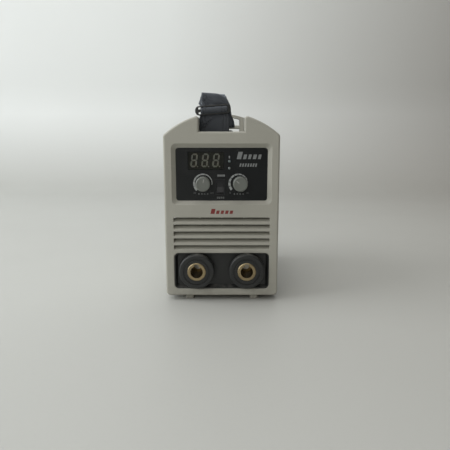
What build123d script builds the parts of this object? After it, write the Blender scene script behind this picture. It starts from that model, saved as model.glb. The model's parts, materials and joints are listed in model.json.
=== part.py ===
"""A compact stick welding inverter: two moulded frames, a steel cover, and the power electronics inside.

Row frame: millimetres, +Z up, the floor at Z = 0 under the four feet, the front looking along -Y,
and the origin under the middle of the whole object.
"""

import os
from math import cos, radians, sin, sqrt

from build123d import *

# Casing
HALF_WIDTH = 60.0
BOTTOM = 5.0
FRONT = -99.0
DEPTH = 185.0
REAR = FRONT + DEPTH
FRAME_DEPTH = 28.0
FRONT_FRAME_BACK = FRONT + FRAME_DEPTH
REAR_FRAME_FRONT = REAR - FRAME_DEPTH
WALL = 3.0
FACE = 3.5
FRONT_FACE_BACK = FRONT + FACE
REAR_FACE_INSIDE = REAR - FACE
ARCH_RADIUS = 90.0
FRONT_ARCH_CENTRE = 109.0
REAR_ARCH_CENTRE = 113.5
EDGE_ROUND = 2.2
RIM_ROUND = 0.7
SLOT_ROUND = 0.4

# Strap notch and rear strap window
NOTCH_HALF = 23.2
NOTCH_FLOOR = 179.7
SHELF_UNDER = 176.7
STRAP_BAR_LOW = 184.1
STRAP_BAR_HIGH = 188.7
STRAP_BAR_DEPTH = 8.0
BRIDGE = 3.3
STRAP_SLOT = (-90.0, -80.0)
STRAP_SLOT_HALF = 23.0
STRAP_PIN = (-85.0, 170.5)
STRAP_PIN_RADIUS = 2.0
STRAP_PIN_HALF = 25.5
SLIDER = (36.6, 9.6, -8.9, 201.6)
SLIDER_TILT = 4.5
SLIDER_Y = (-91.8, -89.2)
SLIDER_SLOT = (29.8, 2.0)
SLIDER_SLOT_OFFSET = 2.4

# Sheet steel cover and pan
SHEET = 1.0
PAN_SHEET = 1.2
COVER_HALF = HALF_WIDTH - WALL
COVER_TOP = 178.5
COVER_ROUND = 10.0
TUCK = 6.0
COVER_FRONT = FRONT_FRAME_BACK - TUCK
COVER_REAR = REAR_FRAME_FRONT + TUCK
FLOOR_TOP = BOTTOM + WALL
PAN_TOP = FLOOR_TOP + PAN_SHEET
PAN_LIP = 24.0
PAN_SCREW_Y = (-50, -6.5, 37)
PAN_SCREW_Z = 16.0

# Control panel
RECESS_DEPTH = 4.0
RECESS_OUTER = (104.0, 63.4, 136.0, 5.0)
RECESS_INNER = (95.6, 55.0, 135.8, 3.0)
PANEL_FRONT = FRONT + RECESS_DEPTH
PANEL_BACK = PANEL_FRONT + 1.5
LEDGE_BACK = PANEL_BACK + 2.0
BOARD_FRONT = -84.4
BOARD_THICK = 1.6
DISPLAY = (-16.5, 150.0, 37.4, 18.4)
DIGIT_PITCH = 11.4
DIGIT_SIZE = (8.0, 14.2)
DIGIT_SLANT = 8.0
LED_PLACES = [(8.1, 149.4), (8.1, 142.3)]
KNOB_X = 19.3
KNOB_Z = 126.6
KNOB_RADIUS = 7.5
KNOB_FRONT = -107.5
KNOB_DISH = 0.4
KNOB_DISH_RADIUS = 5.6
SHAFT_RADIUS = 2.0
RUNNING_GAP = 0.05
MODE_SWITCH = (-1.4, 122.7)

# Louvres
SLOT_TOPS = [60.8 + 7.5 * i for i in range(5)]
SLOT_HALF = 50.8
SLOT_MOUTH = 4.8
SLOT_THROAT = 1.8
SLOT_DEPTH = 7.5
SLOT_SLOPE_DEPTH = 5.8
LOUVRE_MIDDLE = 73.5
LOUVRE_HEIGHT = 39.0

# Output sockets
SOCKET_RECESS_OUTER = (102.4, 40.2, 32.4, 5.0)
SOCKET_RECESS_INNER = (97.0, 36.0, 33.3, 3.5)
SOCKET_RECESS_DEPTH = 5.0
SOCKET_PLATE_FRONT = FRONT + SOCKET_RECESS_DEPTH
SOCKET_PLATE_BACK = SOCKET_PLATE_FRONT + 3.0
TRAY_LIP = 0.8
TRAY_WALL = 1.0
TRAY_GAP = 0.1
SOCKET_X = 26.6
SOCKET_Z = 33.5
SOCKET_FACE = -107.0
SOCKET_BORE = 6.55
SOCKET_BORE_DEPTH = 26.0
KEY_SLOT_HALF = 2.2
KEY_SLOT_REACH = 8.4
KEY_SLOT_DEPTH = 14.0
BARREL_RADIUS = 9.75
THREAD_RADIUS = 9.0
BARREL_END = -76.0
COLLAR_FRONT = -106.0
COLLAR_BACK = FRONT - 0.4
COLLAR_RADIUS = 18.8
COLLAR_BASE_RADIUS = 16.6
BUSBAR_BOLT = 4.0

# Rear panel
FAN_Z = 62.0
FAN_SIDE = 80.0
FAN_DEPTH = 25.0
FAN_BORE = 38.0
FAN_HOLE_PITCH = 71.5
FAN_BACK = REAR_FACE_INSIDE
FAN_FRONT = FAN_BACK - FAN_DEPTH
POWER_SWITCH = (-25.0, 141.0)
GLAND = (25.0, 141.0)
GLAND_END = 107.5
GROUND = (46.0, 112.0)
PANEL_HOLES = (REAR_FACE_INSIDE - 1, REAR + 1)

FOOT_X = 35.0
FOOT_Y = [-85.0, 72.0]
SIDES = (-1, 1)

# Power electronics
SINK_Y = (-40, 50)
SINK_BASE = 14.0
SINK_FACE = 25.0
SINK_WEB = 5.0
SINK_EDGE = 52.0
FIN_COUNT = 13
FIN_PITCH = 6.3
FIN_THICK = 1.4
BOARD_LOW = 96.0
BOARD_HIGH = 97.6
DEVICE_Y = (-28, -8, 12, 32)
DEVICE_Z = 78.0
CAN_PLACES = ((-36, -44), (-36, -15), (-36, 14))
CAN_RADIUS = 12.5
CAN_HEIGHT = 40.0


def block(x, y, z):
    """A block between the two ends given for each axis."""
    size = [b - a for a, b in (x, y, z)]
    middle = [(a + b) / 2 for a, b in (x, y, z)]
    return Pos(*middle) * Box(*size)


def rod(radius, y, x=0.0, z=0.0):
    """A cylinder along Y between the two ends given."""
    return Pos(x, sum(y) / 2, z) * Rot(90, 0, 0) * Cylinder(radius, y[1] - y[0])


def cross_rod(radius, x, y=0.0, z=0.0):
    """A cylinder along X between the two ends given."""
    return Pos(sum(x) / 2, y, z) * Rot(0, 90, 0) * Cylinder(radius, x[1] - x[0])


def facing(y):
    """The plane at that Y that looks forward, with its own Y along +Z of the row."""
    return Plane((0, y, 0), x_dir=(1, 0, 0), z_dir=(0, -1, 0))


def slab(sketch, y):
    """A sketch in X and Z given thickness between the two Y values."""
    return extrude(facing(y[1]) * sketch, y[1] - y[0])


def hexagon(flats, y, x=0.0, z=0.0):
    """A hexagonal prism along Y, measured across its flats."""
    shape = RegularPolygon(flats / 2, 6, major_radius=False)
    return slab(Pos(x, z) * shape, y)


def plate(width, height, radius, x=0.0, z=0.0):
    """A rounded rectangle in X and Z."""
    return Pos(x, z) * RectangleRounded(width, height, radius)


def corners(face, radius, test):
    """Rounds the corners of a flat face that pass the test."""
    return fillet([v for v in face.vertices() if test(v.X, v.Y)], radius)


def group(solids):
    """Separate solids kept together as one node."""
    return Compound(children=[s for part in solids for s in part.solids()])


def arch_face(centre, half=HALF_WIDTH, radius=ARCH_RADIUS, bottom=BOTTOM):
    """Straight sides under a round arch."""
    spring = centre + sqrt(radius**2 - half**2)
    sides = Polyline((half, spring), (half, bottom), (-half, bottom), (-half, spring))
    arch = ThreePointArc((-half, spring), (0, centre + radius), (half, spring))
    return make_face(Curve() + [sides, arch])


def frame_blank(face, y, front):
    """The outer form of a frame, with the rim of its show face rounded."""
    blank = slab(face, y)
    rim = blank.faces().sort_by(Axis.Y)[0 if front else -1].edges()
    return fillet(rim, EDGE_ROUND)


def cover_face(inset, top=COVER_TOP):
    """The section of the space that the cover fills, less an inset all round."""
    half = COVER_HALF - inset
    low, high = FLOOR_TOP, top - inset
    face = Pos(0, (low + high) / 2) * Rectangle(2 * half, high - low)
    return corners(face, COVER_ROUND - inset, lambda x, y: y > 100)


def horn_space(centre, y, open_span):
    """The hollow inside the two raised ends of an arch."""
    space = slab(arch_face(centre, COVER_HALF - 3, ARCH_RADIUS - WALL, SHELF_UNDER - 1), y)
    span = open_span + WALL
    return space - block((-span, span), (y[0] - 1, y[1] + 1), (100, 250))


def tapered_pocket(outer, inner, y_front, y_back):
    """A bevelled pocket between two rounded rectangles: (width, height, centre Z, corner)."""
    faces = []
    for (width, height, z, radius), y in ((outer, y_front), (inner, y_back)):
        faces.append(facing(y) * plate(width, height, radius, 0, z))
    return loft(faces)


def front_mouth(body, width, height, z):
    """The edges on the front face that lie inside a rectangle centred on that height."""
    edges = []
    for edge in body.edges().filter_by_position(Axis.Y, FRONT - 0.01, FRONT + 0.01):
        box = edge.bounding_box()
        within = abs(box.center().Z - z) < height / 2 and box.max.X < width / 2 and box.min.X > -width / 2
        if within:
            edges.append(edge)
    return edges


def louvre_slots():
    """Five slots whose floors rise inwards, so that the slats read as sloping bars."""
    cuts = []
    back = FRONT + SLOT_DEPTH
    for top in SLOT_TOPS:
        profile = Polyline(
            (FRONT - 1, top),
            (back, top),
            (back, top - SLOT_THROAT),
            (FRONT + SLOT_SLOPE_DEPTH, top - SLOT_THROAT),
            (FRONT, top - SLOT_MOUTH),
            (FRONT - 1, top - SLOT_MOUTH),
            close=True,
        )
        face = Plane.YZ * make_face(profile)
        cuts.append(Pos(-SLOT_HALF, 0, 0) * extrude(face, 2 * SLOT_HALF))
    return cuts


def side_screw_places(ends=(COVER_FRONT + 3, COVER_REAR - 3)):
    """Where the frames are screwed to the cover: (side, y, z)."""
    return [(side, y, z) for side in SIDES for y in ends for z in (34, 150)]


def side_screw_holes(y):
    """Clearance holes with head seats through the side walls of one frame."""
    holes = []
    for side, y, z in side_screw_places((y,)):
        holes.append(cross_rod(2.0, sorted((side * 56, side * 61)), y, z))
        holes.append(cross_rod(4.0, sorted((side * 58, side * 61)), y, z))
    return holes


def foot_holes(y):
    """Holes in the underside for the stems of two feet."""
    return [Pos(side * FOOT_X, y, BOTTOM + 1.5) * Cylinder(2.5, 4) for side in SIDES]


def front_backing():
    """The thicker walls behind the control panel and the socket plate, still solid."""
    upper = block((-55, 55), (FRONT_FACE_BACK, LEDGE_BACK), (57, 171))
    lower = block((-55, 55), (FRONT_FACE_BACK, SOCKET_PLATE_BACK + 2), (FLOOR_TOP, 57))
    return upper + lower


def control_recess():
    """The bevelled recess, the seat of the control panel and the hole behind it."""
    width, height, z, radius = RECESS_INNER
    recess = tapered_pocket(RECESS_OUTER, RECESS_INNER, FRONT, PANEL_FRONT)
    recess += slab(plate(width, height, radius, 0, z), (PANEL_FRONT, PANEL_BACK))
    return recess + slab(plate(88, 48, 3, 0, z), (PANEL_BACK, LEDGE_BACK))


def socket_recess():
    """The bevelled recess, the seat of the socket plate and the hole behind it."""
    width, height, z, radius = SOCKET_RECESS_INNER
    recess = tapered_pocket(SOCKET_RECESS_OUTER, SOCKET_RECESS_INNER, FRONT, SOCKET_PLATE_FRONT)
    recess += slab(plate(width, height, radius, 0, z), (SOCKET_PLATE_FRONT, SOCKET_PLATE_BACK))
    return recess + slab(plate(90, 29, 3, 0, z), (SOCKET_PLATE_BACK, SOCKET_PLATE_BACK + 2))


def louvre_ribs():
    """Three upright ribs that tie the slats together behind the face."""
    span = (LEDGE_BACK, LEDGE_BACK + 4)
    return [block((x - 0.8, x + 0.8), span, (57, 97)) for x in (-25.4, 0, 25.4)]


def board_posts():
    """Four posts that hold the control board."""
    return [rod(3.2, (LEDGE_BACK, BOARD_FRONT), x, z) for x in (-46.5, 46.5) for z in (112, 159.5)]


def strap_cheeks():
    """Lugs under the shelf that carry the ends of the strap pin."""
    cheek = block((STRAP_SLOT_HALF, 26.5), (-92, -78), (166, SHELF_UNDER + 0.5))
    return [cheek, mirror(cheek, Plane.YZ)]


def front_frame():
    face = arch_face(FRONT_ARCH_CENTRE)
    face -= Pos(0, NOTCH_FLOOR + 25) * Rectangle(2 * NOTCH_HALF, 50)
    face = corners(face, 4.5, lambda x, y: abs(x) > 50)
    face = corners(face, 3.0, lambda x, y: abs(x) < 30 and y > 190)
    body = frame_blank(face, (FRONT, FRONT_FRAME_BACK), True)
    body -= slab(cover_face(0, SHELF_UNDER), (FRONT_FACE_BACK, COVER_FRONT))
    body -= slab(cover_face(0), (COVER_FRONT, FRONT_FRAME_BACK))
    body -= horn_space(FRONT_ARCH_CENTRE, (FRONT_FACE_BACK, FRONT_FRAME_BACK - WALL), NOTCH_HALF)
    body += front_backing()
    body -= control_recess()
    body -= socket_recess()
    for cut in louvre_slots():
        body -= cut
    for width, height, z, _ in (RECESS_OUTER, SOCKET_RECESS_OUTER):
        body = fillet(front_mouth(body, width + 1, height + 1, z), RIM_ROUND)
    mouths = front_mouth(body, 2 * SLOT_HALF + 1, LOUVRE_HEIGHT, LOUVRE_MIDDLE)
    body = fillet(mouths, SLOT_ROUND)
    for part in louvre_ribs() + board_posts():
        body += part
    body -= block(
        (-STRAP_SLOT_HALF, STRAP_SLOT_HALF), STRAP_SLOT, (SHELF_UNDER - 1, NOTCH_FLOOR + 1)
    )
    for cheek in strap_cheeks():
        body += cheek
    body -= cross_rod(STRAP_PIN_RADIUS, (-STRAP_PIN_HALF, STRAP_PIN_HALF), *STRAP_PIN)
    for hole in side_screw_holes(COVER_FRONT + 3) + foot_holes(FOOT_Y[0]):
        body -= hole
    return body


def strap_bar():
    """The bar that the strap's rear loop goes round."""
    bar = block(
        (-NOTCH_HALF - 1, NOTCH_HALF + 1),
        (REAR_FRAME_FRONT, REAR_FRAME_FRONT + STRAP_BAR_DEPTH),
        (STRAP_BAR_LOW, STRAP_BAR_HIGH),
    )
    return fillet(bar.edges().filter_by(Axis.X), 1.2)


def rear_panel_holes():
    """The holes in the rear face for the fan, switch, gland and earth stud."""
    holes = [rod(FAN_BORE, PANEL_HOLES, 0, FAN_Z)]
    holes += [rod(2.2, PANEL_HOLES, x, z) for x, z in fan_corners()]
    holes.append(slab(Pos(*POWER_SWITCH) * Rectangle(21.8, 29.8), PANEL_HOLES))
    holes.append(rod(10.0, PANEL_HOLES, *GLAND))
    holes.append(rod(2.5, PANEL_HOLES, *GROUND))
    return holes


def rear_frame():
    face = corners(arch_face(REAR_ARCH_CENTRE), 4.5, lambda x, y: True)
    body = frame_blank(face, (REAR_FRAME_FRONT, REAR), False)
    body -= slab(cover_face(0), (REAR_FRAME_FRONT, COVER_REAR))
    body -= slab(cover_face(0, SHELF_UNDER), (COVER_REAR, REAR_FACE_INSIDE))
    body -= horn_space(REAR_ARCH_CENTRE, (REAR_FRAME_FRONT + WALL, REAR_FACE_INSIDE), NOTCH_HALF)
    window = arch_face(REAR_ARCH_CENTRE, NOTCH_HALF, ARCH_RADIUS - BRIDGE, NOTCH_FLOOR)
    body -= slab(corners(window, 2.0, lambda x, y: True), (REAR_FRAME_FRONT - 1, REAR + 1))
    body += strap_bar()
    holes = rear_panel_holes() + side_screw_holes(COVER_REAR - 3) + foot_holes(FOOT_Y[1])
    for hole in holes:
        body -= hole
    return body


def vent_slot(y, z):
    """One long slot through both side walls of the cover."""
    face = Plane.YZ * (Pos(y, z) * SlotOverall(34, 3.0))
    return Pos(-70, 0, 0) * extrude(face, 140)


def case_cover():
    span = (COVER_FRONT, COVER_REAR)
    cover = slab(cover_face(0.1), span) - slab(cover_face(0.1 + SHEET), (span[0] - 1, span[1] + 1))
    cover -= block((-80, 80), (span[0] - 1, span[1] + 1), (0, FLOOR_TOP + 0.6))
    cover -= block((-COVER_HALF + 5, COVER_HALF - 5), (span[0] - 1, span[1] + 1), (0, 60))
    for z in range(44, 93, 7):
        for y in (-38, 25):
            cover -= vent_slot(y, z)
    for y in PAN_SCREW_Y:
        cover -= cross_rod(2.0, (-70, 70), y, PAN_SCREW_Z)
    for _, y, z in side_screw_places()[:4]:
        cover -= cross_rod(1.6, (-70, 70), y, z)
    return cover


def base_pan():
    half = COVER_HALF - 0.1 - SHEET
    span = (COVER_FRONT, COVER_REAR)
    pan = block((-half, half), span, (FLOOR_TOP, PAN_LIP))
    pan -= block((-half + PAN_SHEET, half - PAN_SHEET), (-200, 200), (PAN_TOP, 100))
    for y in PAN_SCREW_Y:
        pan -= cross_rod(1.6, (-70, 70), y, PAN_SCREW_Z)
    for side in SIDES:
        for y in (-30, 20):
            vent = Pos(side * 40, y, FLOOR_TOP) * extrude(SlotOverall(16, 3.2), 4)
            pan -= Pos(0, 0, -1) * vent
    return pan


def rubber_feet():
    feet = []
    for side in SIDES:
        for y in FOOT_Y:
            pad = Pos(side * FOOT_X, y, BOTTOM / 2) * Box(9, 18, BOTTOM)
            pad = fillet(pad.edges().filter_by(Axis.Z), 2.5)
            pad = fillet(pad.faces().sort_by(Axis.Z)[0].edges(), 0.8)
            stem = Pos(side * FOOT_X, y, BOTTOM + 1.5) * Cylinder(2.5, 3)
            barb = Pos(side * FOOT_X, y, FLOOR_TOP + 0.6) * Cone(3.2, 2.2, 1.2)
            feet.append(pad + stem + barb)
    return group(feet)


def control_panel():
    panel = slab(plate(*RECESS_INNER[:2], 3, 0, RECESS_INNER[2]), (PANEL_FRONT, PANEL_BACK))
    cut = (PANEL_FRONT - 1, PANEL_BACK + 1)
    x, z, width, height = DISPLAY
    panel -= slab(plate(width, height, 1, x, z), cut)
    panel -= slab(Pos(*MODE_SWITCH) * Rectangle(10.4, 16.4), cut)
    for place in LED_PLACES:
        panel -= rod(1.55, cut, *place)
    for side in SIDES:
        panel -= rod(3.7, cut, side * KNOB_X, KNOB_Z)
    return panel


def display_window():
    x, z, width, height = DISPLAY
    return slab(plate(width, height, 1, x, z), (PANEL_FRONT, PANEL_BACK))


def display_module():
    x, z, width, height = DISPLAY
    body = slab(plate(width - 0.4, height - 0.4, 0.5, x, z), (-92.9, BOARD_FRONT))
    return body


def segment_outline(length, width):
    """One bar of a figure: a long hexagon."""
    a, b = length / 2, width / 2
    right = [(a - b, b), (a, 0), (a - b, -b)]
    left = [(b - a, -b), (-a, 0), (b - a, b)]
    return make_face(Polyline(*right, *left, close=True))


def display_segments():
    """Seven bars and a point for each of the three figures, leaning to the right."""
    width, height = DIGIT_SIZE
    lean = sin(radians(DIGIT_SLANT))
    bar, gap = 1.7, 0.35
    across, up = width - 3.0, height / 2 - bar / 2
    bars = [(0, up, 0), (0, 0, 0), (0, -up, 0)]
    bars += [(side * across / 2, half * up / 2, 90) for side in SIDES for half in SIDES]
    solids = []
    for index in (-1, 0, 1):
        centre = (DISPLAY[0] - 0.8 + index * DIGIT_PITCH, DISPLAY[1] + 0.3)
        for x, z, turn in bars:
            length = (across if turn == 0 else up) - gap
            tilt = -DIGIT_SLANT if turn else 0
            outline = Rot(0, 0, turn + tilt) * segment_outline(length, bar)
            place = Pos(centre[0] + x + z * lean, centre[1] + z)
            solids.append(slab(place * outline, (-93.2, -92.9)))
        point = Pos(centre[0] + width / 2 - 0.4, centre[1] - up - 0.1) * Circle(0.7)
        solids.append(slab(point, (-93.2, -92.9)))
    return group(solids)


def indicator_leds():
    leds = []
    for x, z in LED_PLACES:
        stem = rod(1.5, (PANEL_FRONT, BOARD_FRONT), x, z)
        dome = Pos(x, PANEL_FRONT, z) * Sphere(1.5)
        flange = rod(1.9, (PANEL_BACK + 0.1, PANEL_BACK + 1.1), x, z)
        leds.append(stem + dome + flange)
    return group(leds)


def control_board():
    back = BOARD_FRONT + BOARD_THICK
    board = slab(plate(102, 58, 2, 0, RECESS_INNER[2]), (BOARD_FRONT, back))
    processor = block((-10, 10), (back, back + 2.4), (138, 148))
    driver = block((22, 36), (back, back + 2.4), (140, 150))
    plug = block((-40, -18), (back, back + 6), (112, 118))
    return board + processor + driver + plug


def potentiometer(x):
    body = rod(8.0, (-91.0, BOARD_FRONT), x, KNOB_Z)
    bush = rod(3.5, (-98.0, -91.0), x, KNOB_Z)
    bore = rod(SHAFT_RADIUS + RUNNING_GAP, (-99, -86.8), x, KNOB_Z)
    return body + bush - bore


def potentiometer_nuts():
    nuts = []
    for side in SIDES:
        nut = hexagon(10, (-96.8, PANEL_FRONT), side * KNOB_X, KNOB_Z)
        nuts.append(nut - rod(3.5, (-98, -94), side * KNOB_X, KNOB_Z))
    return group(nuts)


def shaft(x):
    """A potentiometer's shaft, with a flat where the knob grips it."""
    body = rod(SHAFT_RADIUS, (-105.0, -87.2), x, KNOB_Z)
    return body - block((x - 3, x + 3), (-106, -98.6), (KNOB_Z + 1.5, KNOB_Z + 4))


def knob(x):
    """A ribbed cap with a shallow waist, hollow behind so that it clears the nut."""
    back = -95.5
    body = rod(KNOB_RADIUS, (KNOB_FRONT, back), x, KNOB_Z)
    body = chamfer(body.faces().sort_by(Axis.Y)[0].edges(), 0.9)
    body -= rod(KNOB_DISH_RADIUS, (KNOB_FRONT - 1, KNOB_FRONT + KNOB_DISH), x, KNOB_Z)
    for i in range(18):
        angle = radians(20 * i)
        place = (x + 7.9 * cos(angle), KNOB_Z + 7.9 * sin(angle))
        body -= rod(0.75, (KNOB_FRONT + 2.5, back), *place)
    body -= rod(6.3, (-98.4, back + 1), x, KNOB_Z)
    core = rod(SHAFT_RADIUS, (-105.0, -90), x, KNOB_Z)
    core -= block((x - 3, x + 3), (-106, -98.6), (KNOB_Z + 1.5, KNOB_Z + 4))
    return body - core


class RockerSwitch:
    """A rocker and its housing, drawn with the front along +Z and the pivot at the origin."""

    def __init__(self, width, length, throw, front, depth, pivot_radius):
        self.width = width
        self.half = length / 2
        self.throw = throw
        self.front = front
        self.depth = depth
        self.pivot_radius = pivot_radius

    def rocker(self, angle):
        """The rocker tipped by an angle about its pivot."""
        rise = self.half * sin(radians(self.throw))
        profile = Polyline(
            (-self.half - 1, self.front + rise),
            (0, self.front),
            (self.half + 1, self.front + rise),
            (self.half + 1, -self.half * 0.45),
            (-self.half - 1, -self.half * 0.45),
            close=True,
        )
        face = make_face(profile) & Circle(self.half)
        body = Pos(-self.width / 2, 0, 0) * extrude(Plane.YZ * face, self.width)
        pin_half = self.width / 2 + 0.9
        body += Rot(0, 90, 0) * Cylinder(self.pivot_radius, 2 * pin_half)
        return Rot(angle, 0, 0) * body

    def housing(self, outer_width, outer_length, flange):
        """The box around the rocker; flange is (width, length, thickness) or None."""
        front = self.front + 0.6
        height = front + self.depth
        body = Pos(0, 0, front - height / 2) * Box(outer_width, outer_length, height)
        if flange:
            width, length, thick = flange
            rim = Pos(0, 0, front) * extrude(RectangleRounded(width, length, 2), thick)
            body += chamfer(rim.faces().sort_by(Axis.Z)[-1].edges(), 0.6)
            front += thick
        room = 2 * (self.half + 0.4)
        pocket_floor = -self.half * 0.75 - 0.5
        pocket_height = front - pocket_floor + 1
        pocket = Box(self.width + 0.7, room, pocket_height)
        pocket = Pos(0, 0, pocket_floor + pocket_height / 2) * pocket
        bearing = Rot(0, 90, 0) * Cylinder(self.pivot_radius + RUNNING_GAP, self.width + 2.2)
        return body - pocket - bearing


def switch_place(x, y, z, front):
    """A switch's own plane: its face along -Y if it is on the front, +Y if on the back."""
    side = -1 if front else 1
    return Plane((x, y, z), x_dir=(-side, 0, 0), z_dir=(0, side, 0))


MODE = RockerSwitch(width=7.2, length=12.6, throw=8, front=1.2, depth=8.5, pivot_radius=0.9)
MODE_PLACE = switch_place(MODE_SWITCH[0], PANEL_FRONT + 1.2, MODE_SWITCH[1], True)
POWER = RockerSwitch(width=15.6, length=24, throw=9, front=4.0, depth=16, pivot_radius=1.6)
POWER_PLACE = switch_place(POWER_SWITCH[0], REAR - 4.6, POWER_SWITCH[1], False)


def mode_switch_body():
    housing = MODE_PLACE.location * MODE.housing(10.2, 16.2, None)
    return housing - block((-20, 20), (BOARD_FRONT, -60), (100, 150))


def mode_rocker():
    return MODE_PLACE.location * MODE.rocker(-MODE.throw)


def power_switch_body():
    housing = POWER_PLACE.location * POWER.housing(21.6, 29.6, (25, 33, 2.0))
    x, z = POWER_SWITCH
    for dx, dz in ((-6, -9), (6, -9), (-6, 9), (6, 9)):
        housing += block((x + dx - 3, x + dx + 3), (57, 66), (z + dz - 0.4, z + dz + 0.4))
    return housing


def power_rocker():
    return POWER_PLACE.location * POWER.rocker(POWER.throw)


def grown(recess, amount):
    """A recess outline made larger all round; a negative amount makes it smaller."""
    width, height, z, radius = recess
    return (width + 2 * amount, height + 2 * amount, z, radius + amount)


def recess_section(depth):
    """The outline of the socket recess at a depth behind the face."""
    share = depth / SOCKET_RECESS_DEPTH
    pairs = zip(SOCKET_RECESS_OUTER, SOCKET_RECESS_INNER)
    return tuple(a + (b - a) * share for a, b in pairs)


def socket_panel():
    """The insulating plate, with a thin sloping wall that lines the recess up to its rim."""
    lip = FRONT + TRAY_LIP
    rim = grown(recess_section(TRAY_LIP), -TRAY_GAP)
    foot = grown(SOCKET_RECESS_INNER, -TRAY_GAP)
    wall = tapered_pocket(rim, foot, lip, SOCKET_PLATE_FRONT)
    hollow = (grown(rim, -TRAY_WALL), grown(foot, -TRAY_WALL))
    wall -= tapered_pocket(*hollow, lip, SOCKET_PLATE_FRONT)
    width, height, z, radius = SOCKET_RECESS_INNER
    panel = slab(plate(width, height, radius, 0, z), (SOCKET_PLATE_FRONT, SOCKET_PLATE_BACK))
    panel += wall
    for side in SIDES:
        panel -= rod(BARREL_RADIUS, (-100, -80), side * SOCKET_X, SOCKET_Z)
    return panel


def socket_flange(x):
    """The round insulating collar, which stands on a smaller base and overlaps the recess."""
    collar = rod(COLLAR_RADIUS, (COLLAR_FRONT, COLLAR_BACK), x, SOCKET_Z)
    collar = fillet(collar.faces().sort_by(Axis.Y)[0].edges(), 1.8)
    collar += rod(COLLAR_BASE_RADIUS, (COLLAR_BACK, SOCKET_PLATE_FRONT), x, SOCKET_Z)
    groove = (COLLAR_FRONT - 1, COLLAR_FRONT + 1.2)
    collar -= rod(14.4, groove, x, SOCKET_Z) - rod(12.4, groove, x, SOCKET_Z)
    return collar - rod(BARREL_RADIUS, (-110, -90), x, SOCKET_Z)


def socket_contact(x):
    """The brass barrel: bayonet bore with its key slot, and a threaded tail for the nut."""
    barrel = rod(BARREL_RADIUS, (SOCKET_FACE, SOCKET_PLATE_BACK), x, SOCKET_Z)
    barrel = chamfer(barrel.faces().sort_by(Axis.Y)[0].edges(), 0.6)
    barrel += rod(THREAD_RADIUS, (SOCKET_PLATE_BACK, BARREL_END), x, SOCKET_Z)
    barrel -= rod(SOCKET_BORE, (SOCKET_FACE, SOCKET_FACE + SOCKET_BORE_DEPTH), x, SOCKET_Z)
    key = block(
        (x - KEY_SLOT_HALF, x + KEY_SLOT_HALF),
        (SOCKET_FACE - 1, SOCKET_FACE + KEY_SLOT_DEPTH),
        (SOCKET_Z, SOCKET_Z + KEY_SLOT_REACH),
    )
    return barrel - key - rod(BUSBAR_BOLT, (-82, -70), x, SOCKET_Z)


def socket_nuts():
    nuts = []
    washer_back = SOCKET_PLATE_BACK + 1.2
    for side in SIDES:
        x = side * SOCKET_X
        hole = rod(THREAD_RADIUS, (-95, -80), x, SOCKET_Z)
        washer = rod(14, (SOCKET_PLATE_BACK, washer_back), x, SOCKET_Z)
        nut = hexagon(25, (washer_back, washer_back + 5), x, SOCKET_Z)
        nuts += [washer - hole, nut - hole]
    return group(nuts)


def output_busbars():
    """Two copper straps from the contacts' tails back to the output stage."""
    bars = []
    for side in SIDES:
        x = side * SOCKET_X
        lug = block((x - 9, x + 9), (BARREL_END, -73), (24.5, 43))
        run = block((x - 9, x + 9), (BARREL_END, -43), (21.5, 24.5))
        rise = block((x - 9, x + 9), (-46, -43), (21.5, 48))
        bars.append(lug + run + rise - rod(BUSBAR_BOLT, (-80, -70), x, SOCKET_Z))
    return group(bars)


def busbar_bolts():
    bolts = []
    for side in SIDES:
        x = side * SOCKET_X
        head = hexagon(13, (-73, -68), x, SOCKET_Z)
        bolts.append(head + rod(BUSBAR_BOLT, (-80.5, -73), x, SOCKET_Z))
    return group(bolts)


def front_strap_pin():
    return cross_rod(STRAP_PIN_RADIUS, (-STRAP_PIN_HALF, STRAP_PIN_HALF), *STRAP_PIN)


def slider_face(width, height, radius):
    """A rounded rectangle at the slider's place and tilt."""
    return Pos(*SLIDER[2:]) * Rot(0, 0, SLIDER_TILT) * RectangleRounded(width, height, radius)


def strap_bundle():
    """The spare webbing folded upright in the notch, and the loop that holds the front pin."""
    outline = Polyline(
        (-22.6, 180.0),
        (-22.0, 200.0),
        (-20.0, 218.0),
        (-4.0, 218.2),
        (4.6, 215.8),
        (7.0, 208.0),
        (7.6, 197.0),
        (10.0, 188.0),
        (13.0, 180.0),
        close=True,
    )
    bundle = slab(make_face(outline), (-94.0, -70.0))
    gap = 0.4
    cavity = slider_face(SLIDER[0] + 10, SLIDER[1] + 2 * gap, 1.0)
    bundle -= slab(cavity, (SLIDER_Y[0] - gap, SLIDER_Y[1] + gap))
    y, z = STRAP_PIN
    inner, outer = STRAP_PIN_RADIUS + 0.3, STRAP_PIN_RADIUS + 1.9
    loop = block((-22.3, 7.5), (y - outer, y + outer), (z, 180.0))
    loop += cross_rod(outer, (-22.3, 7.5), y, z)
    hole = block((-23, 9), (y - inner, y + inner), (z, 178.5)) + cross_rod(inner, (-23, 9), y, z)
    return bundle + (loop - hole)


def strap_run():
    """The webbing laid along the cover, two layers deep, up and around the rear bar."""
    rest = COVER_TOP + 0.1
    bar_y = REAR_FRAME_FRONT
    profile = Polyline(
        (-70, rest),
        (47, rest),
        (56, 182.0),
        (bar_y + STRAP_BAR_DEPTH + 1.9, 182.0),
        (bar_y + STRAP_BAR_DEPTH + 1.9, 190.6),
        (56, 190.6),
        (56, 185.2),
        (46, rest + 3),
        (-70, rest + 3),
        close=True,
    )
    run = Pos(-22, 0, 0) * extrude(Plane.YZ * make_face(profile), 30)
    eye = block(
        (-40, 20),
        (bar_y - 0.3, bar_y + STRAP_BAR_DEPTH + 0.3),
        (STRAP_BAR_LOW - 0.4, STRAP_BAR_HIGH + 0.4),
    )
    return run - eye


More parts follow.
